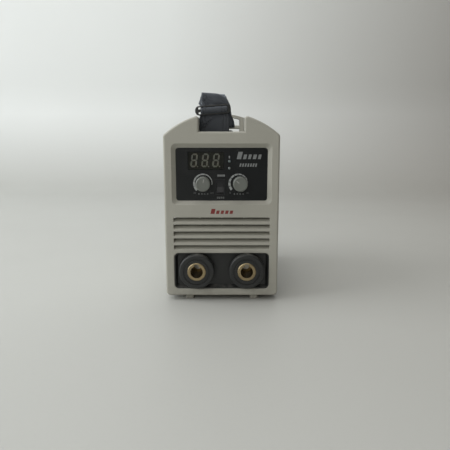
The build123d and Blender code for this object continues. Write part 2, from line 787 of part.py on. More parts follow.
def strap_slider():
    """The moulded three-bar adjuster that the webbing threads through."""
    width, height = SLIDER[:2]
    body = slab(slider_face(width, height, height / 2 - 0.4), SLIDER_Y)
    body = fillet(body.edges().filter_by(GeomType.LINE, reverse=True), 0.7)
    for side in SIDES:
        slot = Pos(0, side * SLIDER_SLOT_OFFSET) * RectangleRounded(*SLIDER_SLOT, 0.7)
        slot = Pos(*SLIDER[2:]) * Rot(0, 0, SLIDER_TILT) * slot
        body -= slab(slot, (SLIDER_Y[0] - 1, SLIDER_Y[1] + 1))
    return body


def fan_corners():
    half = FAN_HOLE_PITCH / 2
    return [(x, FAN_Z + z) for x in (-half, half) for z in (-half, half)]


def fan_frame():
    flange = 4
    waist_y = (FAN_FRONT + flange, FAN_BACK - flange)
    body = slab(plate(FAN_SIDE, FAN_SIDE, 4, 0, FAN_Z), (FAN_FRONT, FAN_BACK))
    body -= rod(FAN_BORE, (FAN_FRONT - 1, FAN_BACK + 1), 0, FAN_Z)
    tube = Pos(0, FAN_Z) * Circle(FAN_SIDE / 2 + 0.2)
    around = plate(120, 120, 4, 0, FAN_Z) - tube
    body -= slab(around, waist_y) - corner_posts()
    for x, z in fan_corners():
        body -= rod(2.2, (FAN_FRONT - 1, FAN_BACK + 1), x, z)
    motor = rod(16, (FAN_FRONT, FAN_FRONT + 3), 0, FAN_Z)
    arm = block((14, FAN_BORE + 1), (FAN_FRONT, FAN_FRONT + 2.5), (-2, 2))
    for angle in (0, 90, 180, 270):
        motor += Pos(0, 0, FAN_Z) * Rot(0, angle + 20, 0) * arm
    return body + motor - rod(1.5 + RUNNING_GAP, (FAN_FRONT - 1, FAN_FRONT + 4), 0, FAN_Z)


def corner_posts():
    """The solid corners of the fan frame, around its screw holes."""
    posts = [rod(5, (FAN_FRONT + 3, FAN_BACK - 3), x, z) for x, z in fan_corners()]
    return posts[0] + posts[1] + posts[2] + posts[3]


def fan_rotor():
    hub_front, hub_back = FAN_FRONT + 4, FAN_BACK - 2
    hub = rod(17, (hub_front, hub_back), 0, 0)
    hub = fillet(hub.faces().sort_by(Axis.Y)[-1].edges(), 2)
    for i in range(7):
        blade = Pos(27, (hub_front + hub_back) / 2, 0) * Rot(38, 0, 0) * Box(22, 1.5, 22)
        hub += Rot(0, i * 360 / 7, 0) * blade
    hub &= rod(36.5, (hub_front, hub_back), 0, 0)
    hub += rod(1.5, (FAN_FRONT + 0.5, hub_front), 0, 0)
    return Pos(0, 0, FAN_Z) * hub


def fan_guard():
    """Flat moulded finger guard: rings 1.6 wide with 3.4 gaps, four ribs and four eyes."""
    face = Circle(9)
    for radius in (14, 19, 24, 29, 34, 39):
        face += Circle(radius) - Circle(radius - 1.6)
    half = FAN_HOLE_PITCH / 2
    for turn in (45, 135):
        face += Rot(0, 0, turn) * Rectangle(2 * half * sqrt(2), 3)
    for x, z in fan_corners():
        face += Pos(x, z - FAN_Z) * Circle(4.6)
    for x, z in fan_corners():
        face -= Pos(x, z - FAN_Z) * Circle(2.2)
    return slab(Pos(0, FAN_Z) * face, (REAR, REAR + 2.6))


def fan_screws():
    screws = []
    for x, z in fan_corners():
        head = rod(3.8, (REAR + 2.6, REAR + 5.0), x, z)
        head = fillet(head.faces().sort_by(Axis.Y)[-1].edges(), 1.2)
        cross = block((x - 0.5, x + 0.5), (REAR + 3.8, REAR + 6), (z - 2, z + 2))
        cross += block((x - 2, x + 2), (REAR + 3.8, REAR + 6), (z - 0.5, z + 0.5))
        screws.append(head - cross + rod(2.0, (FAN_BACK - 12, REAR + 2.6), x, z))
    return group(screws)


def cable_gland():
    x, z = GLAND
    body = hexagon(24, (REAR, REAR + 6), x, z) + rod(10, (REAR - 12, REAR), x, z)
    return body - rod(6.2, (REAR - 13, REAR + 7), x, z)


def cable_gland_dome():
    """The domed clamping nut; its bore takes the mains lead."""
    x, z = GLAND
    start = REAR + 6
    body = rod(11.5, (start, GLAND_END), x, z) & hexagon(22.6, (start, GLAND_END), x, z)
    cap = rod(11.5, (start, GLAND_END), x, z)
    cap = fillet(cap.faces().sort_by(Axis.Y)[-1].edges(), 5)
    return (body & cap) - rod(5.0, (start - 1, GLAND_END + 1), x, z)


def gland_locknut():
    x, z = GLAND
    return hexagon(26, (REAR_FACE_INSIDE - 5, REAR_FACE_INSIDE), x, z) - rod(10, (60, 90), x, z)


def ground_stud():
    x, z = GROUND
    stud = rod(2.5, (REAR - 10, REAR + 15), x, z)
    stud = chamfer(stud.faces().sort_by(Axis.Y)[-1].edges(), 0.5)
    relief = rod(3.5, (REAR + 4, REAR + 4.6), x, z) - rod(2.1, (REAR + 4, REAR + 4.6), x, z)
    return stud - relief


def ground_nuts():
    x, z = GROUND
    hole = rod(2.5, (REAR - 20, REAR + 20), x, z)
    outside = hexagon(8, (REAR, REAR + 4), x, z) - hole
    inside = hexagon(8, (REAR_FACE_INSIDE - 4, REAR_FACE_INSIDE), x, z) - hole
    return group([outside, inside])


def side_screw(side, y, z, seat, tip, head_radius, shank_radius):
    """A pan-head screw driven inwards through the side of the casing."""
    head = cross_rod(head_radius, sorted((side * seat, side * (seat + 1.9))), y, z)
    outer = head.faces().sort_by(Axis.X)[-1 if side > 0 else 0]
    head = fillet(outer.edges(), 0.9)
    recess = sorted((side * (seat + 0.8), side * (seat + 3)))
    head -= block(recess, (y - 0.45, y + 0.45), (z - 2, z + 2))
    head -= block(recess, (y - 2, y + 2), (z - 0.45, z + 0.45))
    return head + cross_rod(shank_radius, sorted((side * tip, side * seat)), y, z)


def cover_screws():
    seat = COVER_HALF - 0.1
    tip = seat - 4.4
    places = [(side, y) for side in SIDES for y in PAN_SCREW_Y]
    return group([side_screw(side, y, PAN_SCREW_Z, seat, tip, 3.6, 1.6) for side, y in places])


def frame_screws():
    return group([side_screw(*place, 58, 51, 3.6, 1.6) for place in side_screw_places()])


def heatsink(side):
    """An extruded comb of fins along the airflow, with its mounting face inwards."""
    top = SINK_BASE + (FIN_COUNT - 1) * FIN_PITCH + FIN_THICK
    body = block((SINK_FACE, SINK_FACE + SINK_WEB), SINK_Y, (SINK_BASE, top))
    for i in range(FIN_COUNT):
        z = SINK_BASE + FIN_PITCH * i
        body += block((SINK_FACE + SINK_WEB - 0.5, SINK_EDGE), SINK_Y, (z, z + FIN_THICK))
    return body if side > 0 else mirror(body, Plane.YZ)


def heatsink_rails():
    """Insulating rails that stand the heatsinks on the pan."""
    rails = []
    for side in SIDES:
        for y in (-30, 40):
            x = sorted((side * 26, side * 50))
            rails.append(block(x, (y - 4, y + 4), (PAN_TOP, SINK_BASE)))
    return group(rails)


def transistor(x, y, z):
    """A three-legged power package, its back on the heatsink; x is (low, high)."""
    body = block(x, (y - 8, y + 8), (z - 10, z + 10))
    middle = sum(x) / 2
    for dy in (-5.4, 0, 5.4):
        leg = (y + dy - 0.7, y + dy + 0.7)
        body += block((middle - 0.4, middle + 0.4), leg, (z + 10, BOARD_LOW))
    return body


def igbt_transistors():
    return group([transistor((-SINK_FACE, -20), y, DEVICE_Z) for y in DEVICE_Y])


def output_diodes():
    return group([transistor((20, SINK_FACE), y, DEVICE_Z) for y in DEVICE_Y])


def bridge_rectifier():
    body = block((-SINK_FACE, -20.5), (20, 48), (40, 60))
    for y in (24, 31, 37, 44):
        body += block((-23, -22.2), (y - 1, y + 1), (60, 64))
    return body


def board_standoffs():
    """Hexagonal posts between the heatsinks and the main board."""
    posts = []
    for x in (-27.5, 27.5):
        for y in (-36, 46):
            collar = Pos(x, y, BOARD_LOW - 2.5) * extrude(RegularPolygon(2.4, 6), 2.5)
            stem = Pos(x, y, BOARD_LOW - 3.75) * Cylinder(2, 2.5)
            posts.append(collar + stem)
    return group(posts)


def main_board():
    return block((-52, 52), (-62, 50), (BOARD_LOW, BOARD_HIGH))


def filter_capacitors():
    """Three upright cans, each rolled in near its foot."""
    cans = []
    for x, y in CAN_PLACES:
        can = Pos(x, y, BOARD_HIGH + CAN_HEIGHT / 2) * Cylinder(CAN_RADIUS, CAN_HEIGHT)
        can = fillet(can.faces().sort_by(Axis.Z)[-1].edges(), 1.5)
        ring = Cylinder(CAN_RADIUS + 1.5, 1.4) - Cylinder(CAN_RADIUS - 0.7, 1.4)
        cans.append(can - Pos(x, y, BOARD_HIGH + 3.9) * ring)
    return group(cans)


def power_relay():
    case = block((10, 38), (22, 44), (BOARD_HIGH, 121))
    return fillet(case.edges().filter_by(Axis.Z), 1)


def emi_choke():
    """A wound ring core standing on the board."""
    ring, wire = 12.5, 5.5
    return Pos(30, -10, BOARD_HIGH + ring + wire) * Rot(0, 90, 0) * Torus(ring, wire)


def transformer_core():
    outer = block((-19, 19), (-38, 8), (12, 58))
    for y in ((-30, -22.5), (-7.5, 0)):
        outer -= block((-20, 20), y, (19, 51))
    return outer


def transformer_winding():
    """Copper wound round the centre leg, filling both windows."""
    coil = block((-24, 24), (-30, 0), (19.2, 50.8))
    coil = fillet(coil.edges().filter_by(Axis.Z), 5)
    return coil - block((-19, 19), (-22.5, -7.5), (10, 60))


def inductor_core():
    outer = block((-14, 14), (13, 48), (12, 52))
    for y in ((19, 25), (36, 42)):
        outer -= block((-20, 20), y, (18, 46))
    return outer


def inductor_winding():
    coil = block((-19, 19), (19, 42), (18.2, 45.8))
    coil = fillet(coil.edges().filter_by(Axis.Z), 4)
    return coil - block((-14, 14), (25, 36), (10, 60))


NODES = {
    "front_frame": front_frame,
    "rear_frame": rear_frame,
    "case_cover": case_cover,
    "base_pan": base_pan,
    "rubber_feet": rubber_feet,
    "control_panel": control_panel,
    "display_window": display_window,
    "display_module": display_module,
    "display_segments": display_segments,
    "indicator_leds": indicator_leds,
    "control_board": control_board,
    "current_potentiometer": lambda: potentiometer(-KNOB_X),
    "arc_force_potentiometer": lambda: potentiometer(KNOB_X),
    "potentiometer_nuts": potentiometer_nuts,
    "current_shaft": lambda: shaft(-KNOB_X),
    "arc_force_shaft": lambda: shaft(KNOB_X),
    "current_knob": lambda: knob(-KNOB_X),
    "arc_force_knob": lambda: knob(KNOB_X),
    "mode_switch_body": mode_switch_body,
    "mode_rocker": mode_rocker,
    "socket_panel": socket_panel,
    "negative_socket_flange": lambda: socket_flange(-SOCKET_X),
    "positive_socket_flange": lambda: socket_flange(SOCKET_X),
    "negative_socket_contact": lambda: socket_contact(-SOCKET_X),
    "positive_socket_contact": lambda: socket_contact(SOCKET_X),
    "socket_nuts": socket_nuts,
    "output_busbars": output_busbars,
    "busbar_bolts": busbar_bolts,
    "front_strap_pin": front_strap_pin,
    "strap_bundle": strap_bundle,
    "strap_run": strap_run,
    "strap_slider": strap_slider,
    "fan_frame": fan_frame,
    "fan_rotor": fan_rotor,
    "fan_guard": fan_guard,
    "fan_screws": fan_screws,
    "power_switch_body": power_switch_body,
    "power_rocker": power_rocker,
    "cable_gland": cable_gland,
    "cable_gland_dome": cable_gland_dome,
    "gland_locknut": gland_locknut,
    "ground_stud": ground_stud,
    "ground_nuts": ground_nuts,
    "cover_screws": cover_screws,
    "frame_screws": frame_screws,
    "heatsink_rails": heatsink_rails,
    "primary_heatsink": lambda: heatsink(-1),
    "output_heatsink": lambda: heatsink(1),
    "igbt_transistors": igbt_transistors,
    "output_diodes": output_diodes,
    "bridge_rectifier": bridge_rectifier,
    "board_standoffs": board_standoffs,
    "main_board": main_board,
    "filter_capacitors": filter_capacitors,
    "power_relay": power_relay,
    "emi_choke": emi_choke,
    "transformer_core": transformer_core,
    "transformer_winding": transformer_winding,
    "inductor_core": inductor_core,
    "inductor_winding": inductor_winding,
}


def main():
    os.makedirs("parts", exist_ok=True)
    for name, make in NODES.items():
        export_step(make(), f"parts/{name}.step")


main()
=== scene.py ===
"""The looks of a compact stick welding inverter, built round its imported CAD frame.

Row frame: metres, +Z up, the floor at Z = 0 and the front looking along -Y.
"""

import json
import math
import random

import bmesh
import bpy
import numpy as np
from mathutils import Matrix, Vector

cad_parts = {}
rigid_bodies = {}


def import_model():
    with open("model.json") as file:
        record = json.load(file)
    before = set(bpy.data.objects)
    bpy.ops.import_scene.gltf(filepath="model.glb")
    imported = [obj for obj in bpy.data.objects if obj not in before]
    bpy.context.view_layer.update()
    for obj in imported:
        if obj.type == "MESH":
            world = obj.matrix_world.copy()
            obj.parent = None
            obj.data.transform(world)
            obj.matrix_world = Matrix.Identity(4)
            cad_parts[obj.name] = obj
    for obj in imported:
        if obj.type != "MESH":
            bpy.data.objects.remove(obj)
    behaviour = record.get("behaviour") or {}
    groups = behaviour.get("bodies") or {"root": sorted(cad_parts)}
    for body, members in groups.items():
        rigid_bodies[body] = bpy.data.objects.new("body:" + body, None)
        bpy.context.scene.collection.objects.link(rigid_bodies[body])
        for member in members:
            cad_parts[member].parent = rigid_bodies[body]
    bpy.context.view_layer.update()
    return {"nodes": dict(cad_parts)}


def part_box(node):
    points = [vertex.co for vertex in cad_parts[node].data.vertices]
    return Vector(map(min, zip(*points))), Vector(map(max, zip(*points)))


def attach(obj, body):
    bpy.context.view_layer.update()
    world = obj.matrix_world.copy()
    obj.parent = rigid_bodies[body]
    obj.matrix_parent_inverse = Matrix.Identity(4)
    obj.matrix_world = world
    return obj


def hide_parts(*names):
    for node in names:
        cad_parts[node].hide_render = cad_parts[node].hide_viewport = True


MM = 0.001
FULL_TURN = 2 * math.pi


def clear_scene():
    """Empties the start-up scene."""
    for thing in list(bpy.data.objects):
        bpy.data.objects.remove(thing)


clear_scene()
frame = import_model()
NODES = frame["nodes"]


# ---------------------------------------------------------------- camera, floor and light

CAMERA_PLACE = (0.0035, -0.587, 0.1763)
CAMERA_PITCH = 79.17
CAMERA_LENS = 37.68


def add_camera():
    data = bpy.data.cameras.new("camera")
    data.sensor_width = 36
    data.lens = CAMERA_LENS
    camera = bpy.data.objects.new("camera", data)
    camera.location = CAMERA_PLACE
    camera.rotation_euler = (math.radians(CAMERA_PITCH), 0, 0)
    bpy.context.scene.collection.objects.link(camera)
    bpy.context.scene.camera = camera


def area_light(name, place, target, size, power, colour):
    """A square soft light that looks at a point."""
    data = bpy.data.lights.new(name, "AREA")
    data.shape = "SQUARE"
    data.size = size
    data.energy = power
    data.color = colour
    lamp = bpy.data.objects.new(name, data)
    lamp.location = place
    aim = Vector(target) - Vector(place)
    lamp.rotation_euler = aim.to_track_quat("-Z", "Y").to_euler()
    bpy.context.scene.collection.objects.link(lamp)


LIGHTS = (
    # name, place, aim, size, watts, colour
    ("window_light", (-1.5, -0.25, 0.95), (0, 0, 0.08), 1.3, 19.0, (0.97, 0.99, 1.0)),
    ("ceiling_light", (-0.2, -0.1, 1.7), (0, 0, 0.1), 1.8, 9.0, (1.0, 0.99, 0.96)),
    ("front_fill", (-0.6, -1.8, 0.9), (0, 0, 0.1), 1.2, 8.6, (1.0, 0.97, 0.92)),
    ("wall_light", (0.0, 0.35, 1.9), (-0.2, 1.15, 0.5), 0.8, 5.0, (0.97, 0.99, 1.0)),
)
ROOM_TONES = ((0.0, (0.78, 0.82, 0.85)), (0.5, (0.46, 0.465, 0.455)), (1.0, (0.16, 0.15, 0.14)))
ROOM_DEPTH = (-1.0, -0.2)
ROOM_STRENGTH = (0.36, 0.75)


def map_range(tree, value, low, high, out):
    """A value stretched from low..high to the range given, and clamped."""
    node = tree.nodes.new("ShaderNodeMapRange")
    for name, number in zip(("From Min", "From Max", "To Min", "To Max"), (low, high, *out)):
        node.inputs[name].default_value = number
    tree.links.new(value, node.inputs["Value"])
    return node.outputs[0]


def add_world():
    """A pale room, brighter on the window side and dim behind the camera."""
    world = bpy.data.worlds.new("room")
    world.use_nodes = True
    tree = world.node_tree
    tree.nodes.clear()
    where = tree.nodes.new("ShaderNodeTexCoord")
    split = tree.nodes.new("ShaderNodeSeparateXYZ")
    tone = tree.nodes.new("ShaderNodeValToRGB")
    light = tree.nodes.new("ShaderNodeBackground")
    out = tree.nodes.new("ShaderNodeOutputWorld")
    tree.links.new(where.outputs["Generated"], split.inputs[0])
    across = map_range(tree, split.outputs["X"], -1, 1, (0, 1))
    strength = map_range(tree, split.outputs["Y"], *ROOM_DEPTH, ROOM_STRENGTH)
    stops = tone.color_ramp.elements
    stops.new(ROOM_TONES[1][0])
    for stop, (place, colour) in zip(stops, ROOM_TONES):
        stop.position = place
        stop.color = (*colour, 1)
    tree.links.new(across, tone.inputs[0])
    tree.links.new(tone.outputs[0], light.inputs["Color"])
    tree.links.new(strength, light.inputs["Strength"])
    tree.links.new(light.outputs[0], out.inputs[0])
    bpy.context.scene.world = world
    bpy.context.scene.view_settings.view_transform = "Standard"


FLOOR_BEND = 0.35
FLOOR_BACK = 1.15
FLOOR_FRONT = -2.6
FLOOR_HALF = 3.2
WALL_TOP = 2.4
BEND_STEPS = 12


def add_floor(material):
    """A pale table top that curves up into a plain wall far behind the object."""
    profile = [(FLOOR_FRONT, 0.0), (-0.6, 0.0), (0.3, 0.0)]
    for i in range(BEND_STEPS + 1):
        angle = math.radians(90 * i / BEND_STEPS)
        y = FLOOR_BACK - FLOOR_BEND + FLOOR_BEND * math.sin(angle)
        profile.append((y, FLOOR_BEND - FLOOR_BEND * math.cos(angle)))
    profile.append((FLOOR_BACK, WALL_TOP))
    mesh = bpy.data.meshes.new("floor")
    points = [(x, y, z) for y, z in profile for x in (-FLOOR_HALF, FLOOR_HALF)]
    faces = [(2 * i, 2 * i + 1, 2 * i + 3, 2 * i + 2) for i in range(len(profile) - 1)]
    mesh.from_pydata(points, [], faces)
    smooth(mesh)
    mesh.materials.append(material)
    floor = bpy.data.objects.new("floor", mesh)
    bpy.context.scene.collection.objects.link(floor)


def smooth(mesh):
    mesh.polygons.foreach_set("use_smooth", [True] * len(mesh.polygons))


# ---------------------------------------------------------------- procedural materials


class Surface:
    """A node material that grows by short calls: tint, vary the roughness, add relief."""

    def __init__(self, name, colour, roughness, metallic=0.0, space="Object"):
        self.material = bpy.data.materials.new(name)
        self.material.use_nodes = True
        self.tree = self.material.node_tree
        self.tree.nodes.clear()
        self.out = self.tree.nodes.new("ShaderNodeOutputMaterial")
        self.shader = self.tree.nodes.new("ShaderNodeBsdfPrincipled")
        self.tree.links.new(self.shader.outputs[0], self.out.inputs["Surface"])
        self.shader.inputs["Base Color"].default_value = (*colour, 1)
        self.shader.inputs["Roughness"].default_value = roughness
        self.shader.inputs["Metallic"].default_value = metallic
        self.coords = self.tree.nodes.new("ShaderNodeTexCoord").outputs[space]
        self.colour = None
        self.base = (*colour, 1)
        self.normal = None

    def set(self, **values):
        """Constant values on the shader's own sockets."""
        for name, value in values.items():
            self.shader.inputs[name.replace("_", " ")].default_value = value
        return self

    def placed(self, scale=(1, 1, 1), turn=(0, 0, 0)):
        """The coordinates, turned in degrees and stretched."""
        node = self.tree.nodes.new("ShaderNodeMapping")
        node.inputs["Scale"].default_value = scale
        node.inputs["Rotation"].default_value = [math.radians(a) for a in turn]
        self.tree.links.new(self.coords, node.inputs["Vector"])
        return node.outputs[0]

    def noise(self, scale, detail=2.0, where=None, rough=0.5, twist=0.0):
        node = self.tree.nodes.new("ShaderNodeTexNoise")
        node.inputs["Scale"].default_value = scale
        node.inputs["Detail"].default_value = detail
        node.inputs["Roughness"].default_value = rough
        node.inputs["Distortion"].default_value = twist
        self.tree.links.new(where or self.coords, node.inputs["Vector"])
        return node.outputs[0]

    def cells(self, scale, feature="F1", output="Distance"):
        node = self.tree.nodes.new("ShaderNodeTexVoronoi")
        node.feature = feature
        node.inputs["Scale"].default_value = scale
        self.tree.links.new(self.coords, node.inputs["Vector"])
        return node.outputs[output]

    def bands(self, scale, direction="X", twist=0.0):
        node = self.tree.nodes.new("ShaderNodeTexWave")
        node.bands_direction = direction
        node.inputs["Scale"].default_value = scale
        node.inputs["Distortion"].default_value = twist
        self.tree.links.new(self.coords, node.inputs["Vector"])
        return node.outputs["Fac"]

    def axis(self, name, where=None):
        node = self.tree.nodes.new("ShaderNodeSeparateXYZ")
        self.tree.links.new(where or self.coords, node.inputs[0])
        return node.outputs[name]

    def ramp(self, value, low, high, out=(0.0, 1.0)):
        return map_range(self.tree, value, low, high, out)

    def maths(self, operation, a, b=0):
        node = self.tree.nodes.new("ShaderNodeMath")
        node.operation = operation
        for socket, value in zip(node.inputs, (a, b)):
            if isinstance(value, (int, float)):
                socket.default_value = value
            else:
                self.tree.links.new(value, socket)
        return node.outputs[0]

    def tint(self, factor, colour):
        """Lays a colour over what is there, as far as the factor goes."""
        node = self.tree.nodes.new("ShaderNodeMix")
        node.data_type = "RGBA"
        a, b = node.inputs[6], node.inputs[7]
        if self.colour is None:
            a.default_value = self.base
        else:
            self.tree.links.new(self.colour, a)
        b.default_value = (*colour, 1)
        self.tree.links.new(factor, node.inputs[0])
        self.colour = node.outputs[2]
        self.tree.links.new(self.colour, self.shader.inputs["Base Color"])
        return self

    def rough(self, value, low, high):
        """Roughness that follows a value from 0 to 1."""
        self.tree.links.new(self.ramp(value, 0, 1, (low, high)), self.shader.inputs["Roughness"])
        return self

    def relief(self, height, depth, strength=1.0):
        """Bump, in metres, on top of the bumps before it."""
        node = self.tree.nodes.new("ShaderNodeBump")
        node.inputs["Distance"].default_value = depth
        node.inputs["Strength"].default_value = strength
        self.tree.links.new(height, node.inputs["Height"])
        if self.normal is not None:
            self.tree.links.new(self.normal, node.inputs["Normal"])
        self.normal = node.outputs[0]
        self.tree.links.new(self.normal, self.shader.inputs["Normal"])
        return self


def moulded_plastic(name, colour, roughness, mottle=0.06, dust=0.0):
    """Moulded plastic: spark-eroded grain, slow colour drift, a little dust and rubbing."""
    s = Surface(name, colour, roughness)
    darker = [c * (1 - 2.2 * mottle) for c in colour]
    lighter = [min(1.0, c * (1 + 1.6 * mottle) + 0.004) for c in colour]
    s.tint(s.ramp(s.noise(16, 4), 0.42, 0.72), darker)
    s.tint(s.ramp(s.noise(55, 3, rough=0.6), 0.5, 0.8, (0, 0.6)), lighter)
    s.tint(s.ramp(s.noise(1500, 2), 0.55, 0.75, (0, 0.35)), darker)
    if dust:
        up = s.tree.nodes.new("ShaderNodeNewGeometry").outputs["Normal"]
        flat = s.ramp(s.axis("Z", up), 0.5, 1.0)
        film = s.maths("MULTIPLY", flat, s.ramp(s.noise(140, 5), 0.42, 0.7, (0, dust)))
        s.tint(film, (0.45, 0.43, 0.39))
    s.rough(s.noise(38, 4), roughness - 0.09, roughness + 0.13)
    s.relief(s.noise(2300, 3, rough=0.6), 0.00003, 0.6)
    s.relief(s.noise(48, 2), 0.00012, 0.35)
    scratches = s.noise(30, 6, where=s.placed((1, 1, 26), (18, 24, 0)))
    s.relief(s.ramp(scratches, 0.66, 0.72), 0.00001, 0.5)
    return s


def frame_plastic():
    s = moulded_plastic("frame_plastic", (0.385, 0.377, 0.327), 0.5, mottle=0.028)
    # Darker towards the bottom, in patches.
    low = s.ramp(s.axis("Z"), 0.024, 0.004)
    darker_patches = s.ramp(s.noise(90, 5), 0.38, 0.66, (0, 0.45))
    s.tint(s.maths("MULTIPLY", low, darker_patches), (0.17, 0.16, 0.135))
    rub = s.noise(22, 6, where=s.placed((1, 1, 9), (0, 35, 20)), rough=0.65)
    s.tint(s.ramp(rub, 0.66, 0.74, (0, 0.3)), (0.5, 0.49, 0.44))
    return s


def black_plastic():
    """Black mouldings; the small mode rocker between the knobs has painted shade, a deeper, bluer
    black.
    """
    s = moulded_plastic("black_plastic", (0.015, 0.0162, 0.0158), 0.4, mottle=0.12, dust=0.2)
    # Painted shade: a box round the mode rocker is tinted a deeper, bluer black.
    over = s.ramp(s.axis("Z"), 0.112, 0.114)
    under = s.ramp(s.axis("Z"), 0.142, 0.140)
    ahead = s.ramp(s.axis("Y"), -0.0935, -0.0945)
    rocker = s.maths("MULTIPLY", s.maths("MULTIPLY", over, under), ahead)
    return s.tint(s.maths("MULTIPLY", rocker, 0.9), (0.0035, 0.0045, 0.0065))


def display_plastic():
    return moulded_plastic("display_plastic", (0.068, 0.073, 0.068), 0.4)


def knob_plastic():
    return moulded_plastic("knob_plastic", (0.152, 0.162, 0.145), 0.42, mottle=0.05)


def zinc_steel():
    return plated("zinc_steel", (0.55, 0.56, 0.56), 0.34, (0.40, 0.40, 0.38))


def cover_paint():
    s = Surface("cover_paint", (0.385, 0.378, 0.332), 0.42)
    s.tint(s.ramp(s.noise(12, 4), 0.4, 0.75, (0, 0.7)), (0.36, 0.355, 0.31))
    s.tint(s.ramp(s.noise(700, 2), 0.58, 0.72, (0, 0.3)), (0.5, 0.49, 0.45))
    scuff = s.noise(26, 7, where=s.placed((1, 0.14, 1.2), (4, 0, 0)), rough=0.7)
    s.tint(s.ramp(scuff, 0.68, 0.76, (0, 0.4)), (0.26, 0.255, 0.23))
    # Darker towards the bottom, in patches.
    low = s.ramp(s.axis("Z"), 0.034, 0.008)
    darker_patches = s.ramp(s.noise(120, 5), 0.4, 0.7, (0, 0.5))
    s.tint(s.maths("MULTIPLY", low, darker_patches), (0.2, 0.18, 0.15))
    s.rough(s.noise(60, 4), 0.34, 0.56)
    s.relief(s.noise(620, 2), 0.00006, 0.7)
    s.relief(s.noise(18, 1), 0.0004, 0.25)
    return s


def galvanised_steel():
    s = Surface("galvanised_steel", (0.50, 0.51, 0.52), 0.38, 0.95)
    flakes = s.cells(130, output="Color")
    s.tint(s.ramp(s.axis("X", flakes), 0.1, 0.95, (0, 0.6)), (0.32, 0.34, 0.36))
    s.tint(s.ramp(s.noise(30, 5), 0.55, 0.8, (0, 0.5)), (0.62, 0.62, 0.6))
    s.rough(s.cells(130), 0.28, 0.55)
    s.relief(s.cells(130), 0.00002, 0.5)
    return s


def panel_gloss():
    s = Surface("panel_gloss", (0.0055, 0.0068, 0.0072), 0.16)
    smudge = s.noise(34, 6, rough=0.62, twist=0.6)
    s.tint(s.ramp(smudge, 0.5, 0.78, (0, 0.35)), (0.017, 0.019, 0.019))
    specks = s.cells(420)
    s.tint(s.ramp(specks, 0.075, 0.035, (0, 0.5)), (0.20, 0.20, 0.19))
    s.rough(smudge, 0.10, 0.34)
    s.relief(s.noise(26, 2), 0.00018, 0.25)
    lines = s.noise(60, 5, where=s.placed((1, 1, 30), (0, 62, 0)))
    s.relief(s.ramp(lines, 0.68, 0.72), 0.000006, 0.5)
    return s


def smoked_lens():
    """Dark clear acrylic: a tinted pane with a glossy face."""
    s = Surface("smoked_lens", (0.012, 0.012, 0.012), 0.07)
    smudge = s.noise(60, 5)
    s.tint(s.ramp(smudge, 0.5, 0.8), (0.03, 0.03, 0.03))
    s.rough(smudge, 0.05, 0.2)
    clear = s.tree.nodes.new("ShaderNodeBsdfTransparent")
    clear.inputs[0].default_value = (0.83, 0.83, 0.80, 1)
    mix = s.tree.nodes.new("ShaderNodeMixShader")
    mix.inputs[0].default_value = 0.2
    s.tree.links.new(clear.outputs[0], mix.inputs[1])
    s.tree.links.new(s.shader.outputs[0], mix.inputs[2])
    s.tree.links.new(mix.outputs[0], s.out.inputs["Surface"])
    return s


def segment_plastic():
    """Unlit display bars: milky resin with a faint cell pattern."""
    s = Surface("segment_plastic", (0.72, 0.73, 0.70), 0.45)
    s.tint(s.ramp(s.noise(420, 3), 0.4, 0.7), (0.60, 0.61, 0.58))
    s.tint(s.ramp(s.noise(90, 2), 0.5, 0.75, (0, 0.6)), (0.42, 0.42, 0.39))
    s.rough(s.noise(300, 2), 0.3, 0.6)
    s.relief(s.cells(1800), 0.00003, 0.4)
    s.set(Subsurface_Weight=0.15, Subsurface_Scale=0.0006)
    return s


def led_lens():
    """Water-clear resin over a pale die."""
    s = Surface("led_lens", (0.17, 0.19, 0.185), 0.12)
    s.tint(s.ramp(s.noise(500, 3), 0.45, 0.7), (0.11, 0.125, 0.12))
    s.rough(s.noise(220, 3), 0.06, 0.24)
    s.relief(s.noise(900, 2), 0.00002, 0.3)
    s.set(Subsurface_Weight=0.4, Subsurface_Scale=0.001, Coat_Weight=0.6, Coat_Roughness=0.05)
    return s


def circuit_board():
    """Green solder mask over tracks, with tinned pads."""
    s = Surface("circuit_board", (0.012, 0.11, 0.045), 0.32)
    tracks = s.cells(150, "DISTANCE_TO_EDGE")
    s.tint(s.ramp(tracks, 0.10, 0.06), (0.02, 0.19, 0.075))
    pads = s.cells(330)
    s.tint(s.ramp(pads, 0.20, 0.15), (0.60, 0.58, 0.50))
    s.tint(s.ramp(s.noise(40, 4), 0.5, 0.8, (0, 0.6)), (0.008, 0.07, 0.03))
    s.rough(s.noise(90, 3), 0.24, 0.46)
    s.relief(s.ramp(tracks, 0.10, 0.06), 0.00004, 0.8)
    s.relief(s.ramp(pads, 0.20, 0.14), 0.00006, 0.8)
    return s


def plated(name, colour, roughness, tarnish, spread=0.12):
    """Plated or turned metal: fine tool lines, tarnish in patches and handling marks."""
    s = Surface(name, colour, roughness, 1.0)
    patches = s.noise(130, 6, rough=0.65)
    s.tint(s.ramp(patches, 0.48, 0.72, (0, 0.75)), tarnish)
    s.tint(s.ramp(s.noise(900, 3), 0.58, 0.74, (0, 0.4)), [c * 0.45 for c in colour])
    s.rough(patches, roughness - spread / 2, roughness + spread)
    s.relief(s.bands(1500, "Y", twist=1.5), 0.000006, 0.5)
    s.relief(s.noise(600, 4), 0.00002, 0.45)
    return s


# Depths over which painted shade darkens the brass into the socket bores.
BORE_SHADE_DEPTHS = (-0.1066, -0.1050)


def socket_brass():
    """Dull turned brass, with painted shade inside the two socket bores."""
    s = plated("socket_brass", (0.36, 0.285, 0.165), 0.36, (0.17, 0.135, 0.085))
    s.relief(s.noise(45, 2), 0.00015, 0.3)
    # Painted shade: every brass surface behind the socket faces is darkened, which fills the bores
    # and also darkens the ground stud.
    s.tint(s.ramp(s.axis("Y"), BORE_SHADE_DEPTHS[0], BORE_SHADE_DEPTHS[1], (0, 0.85)), (0.16, 0.115, 0.05))
    return s


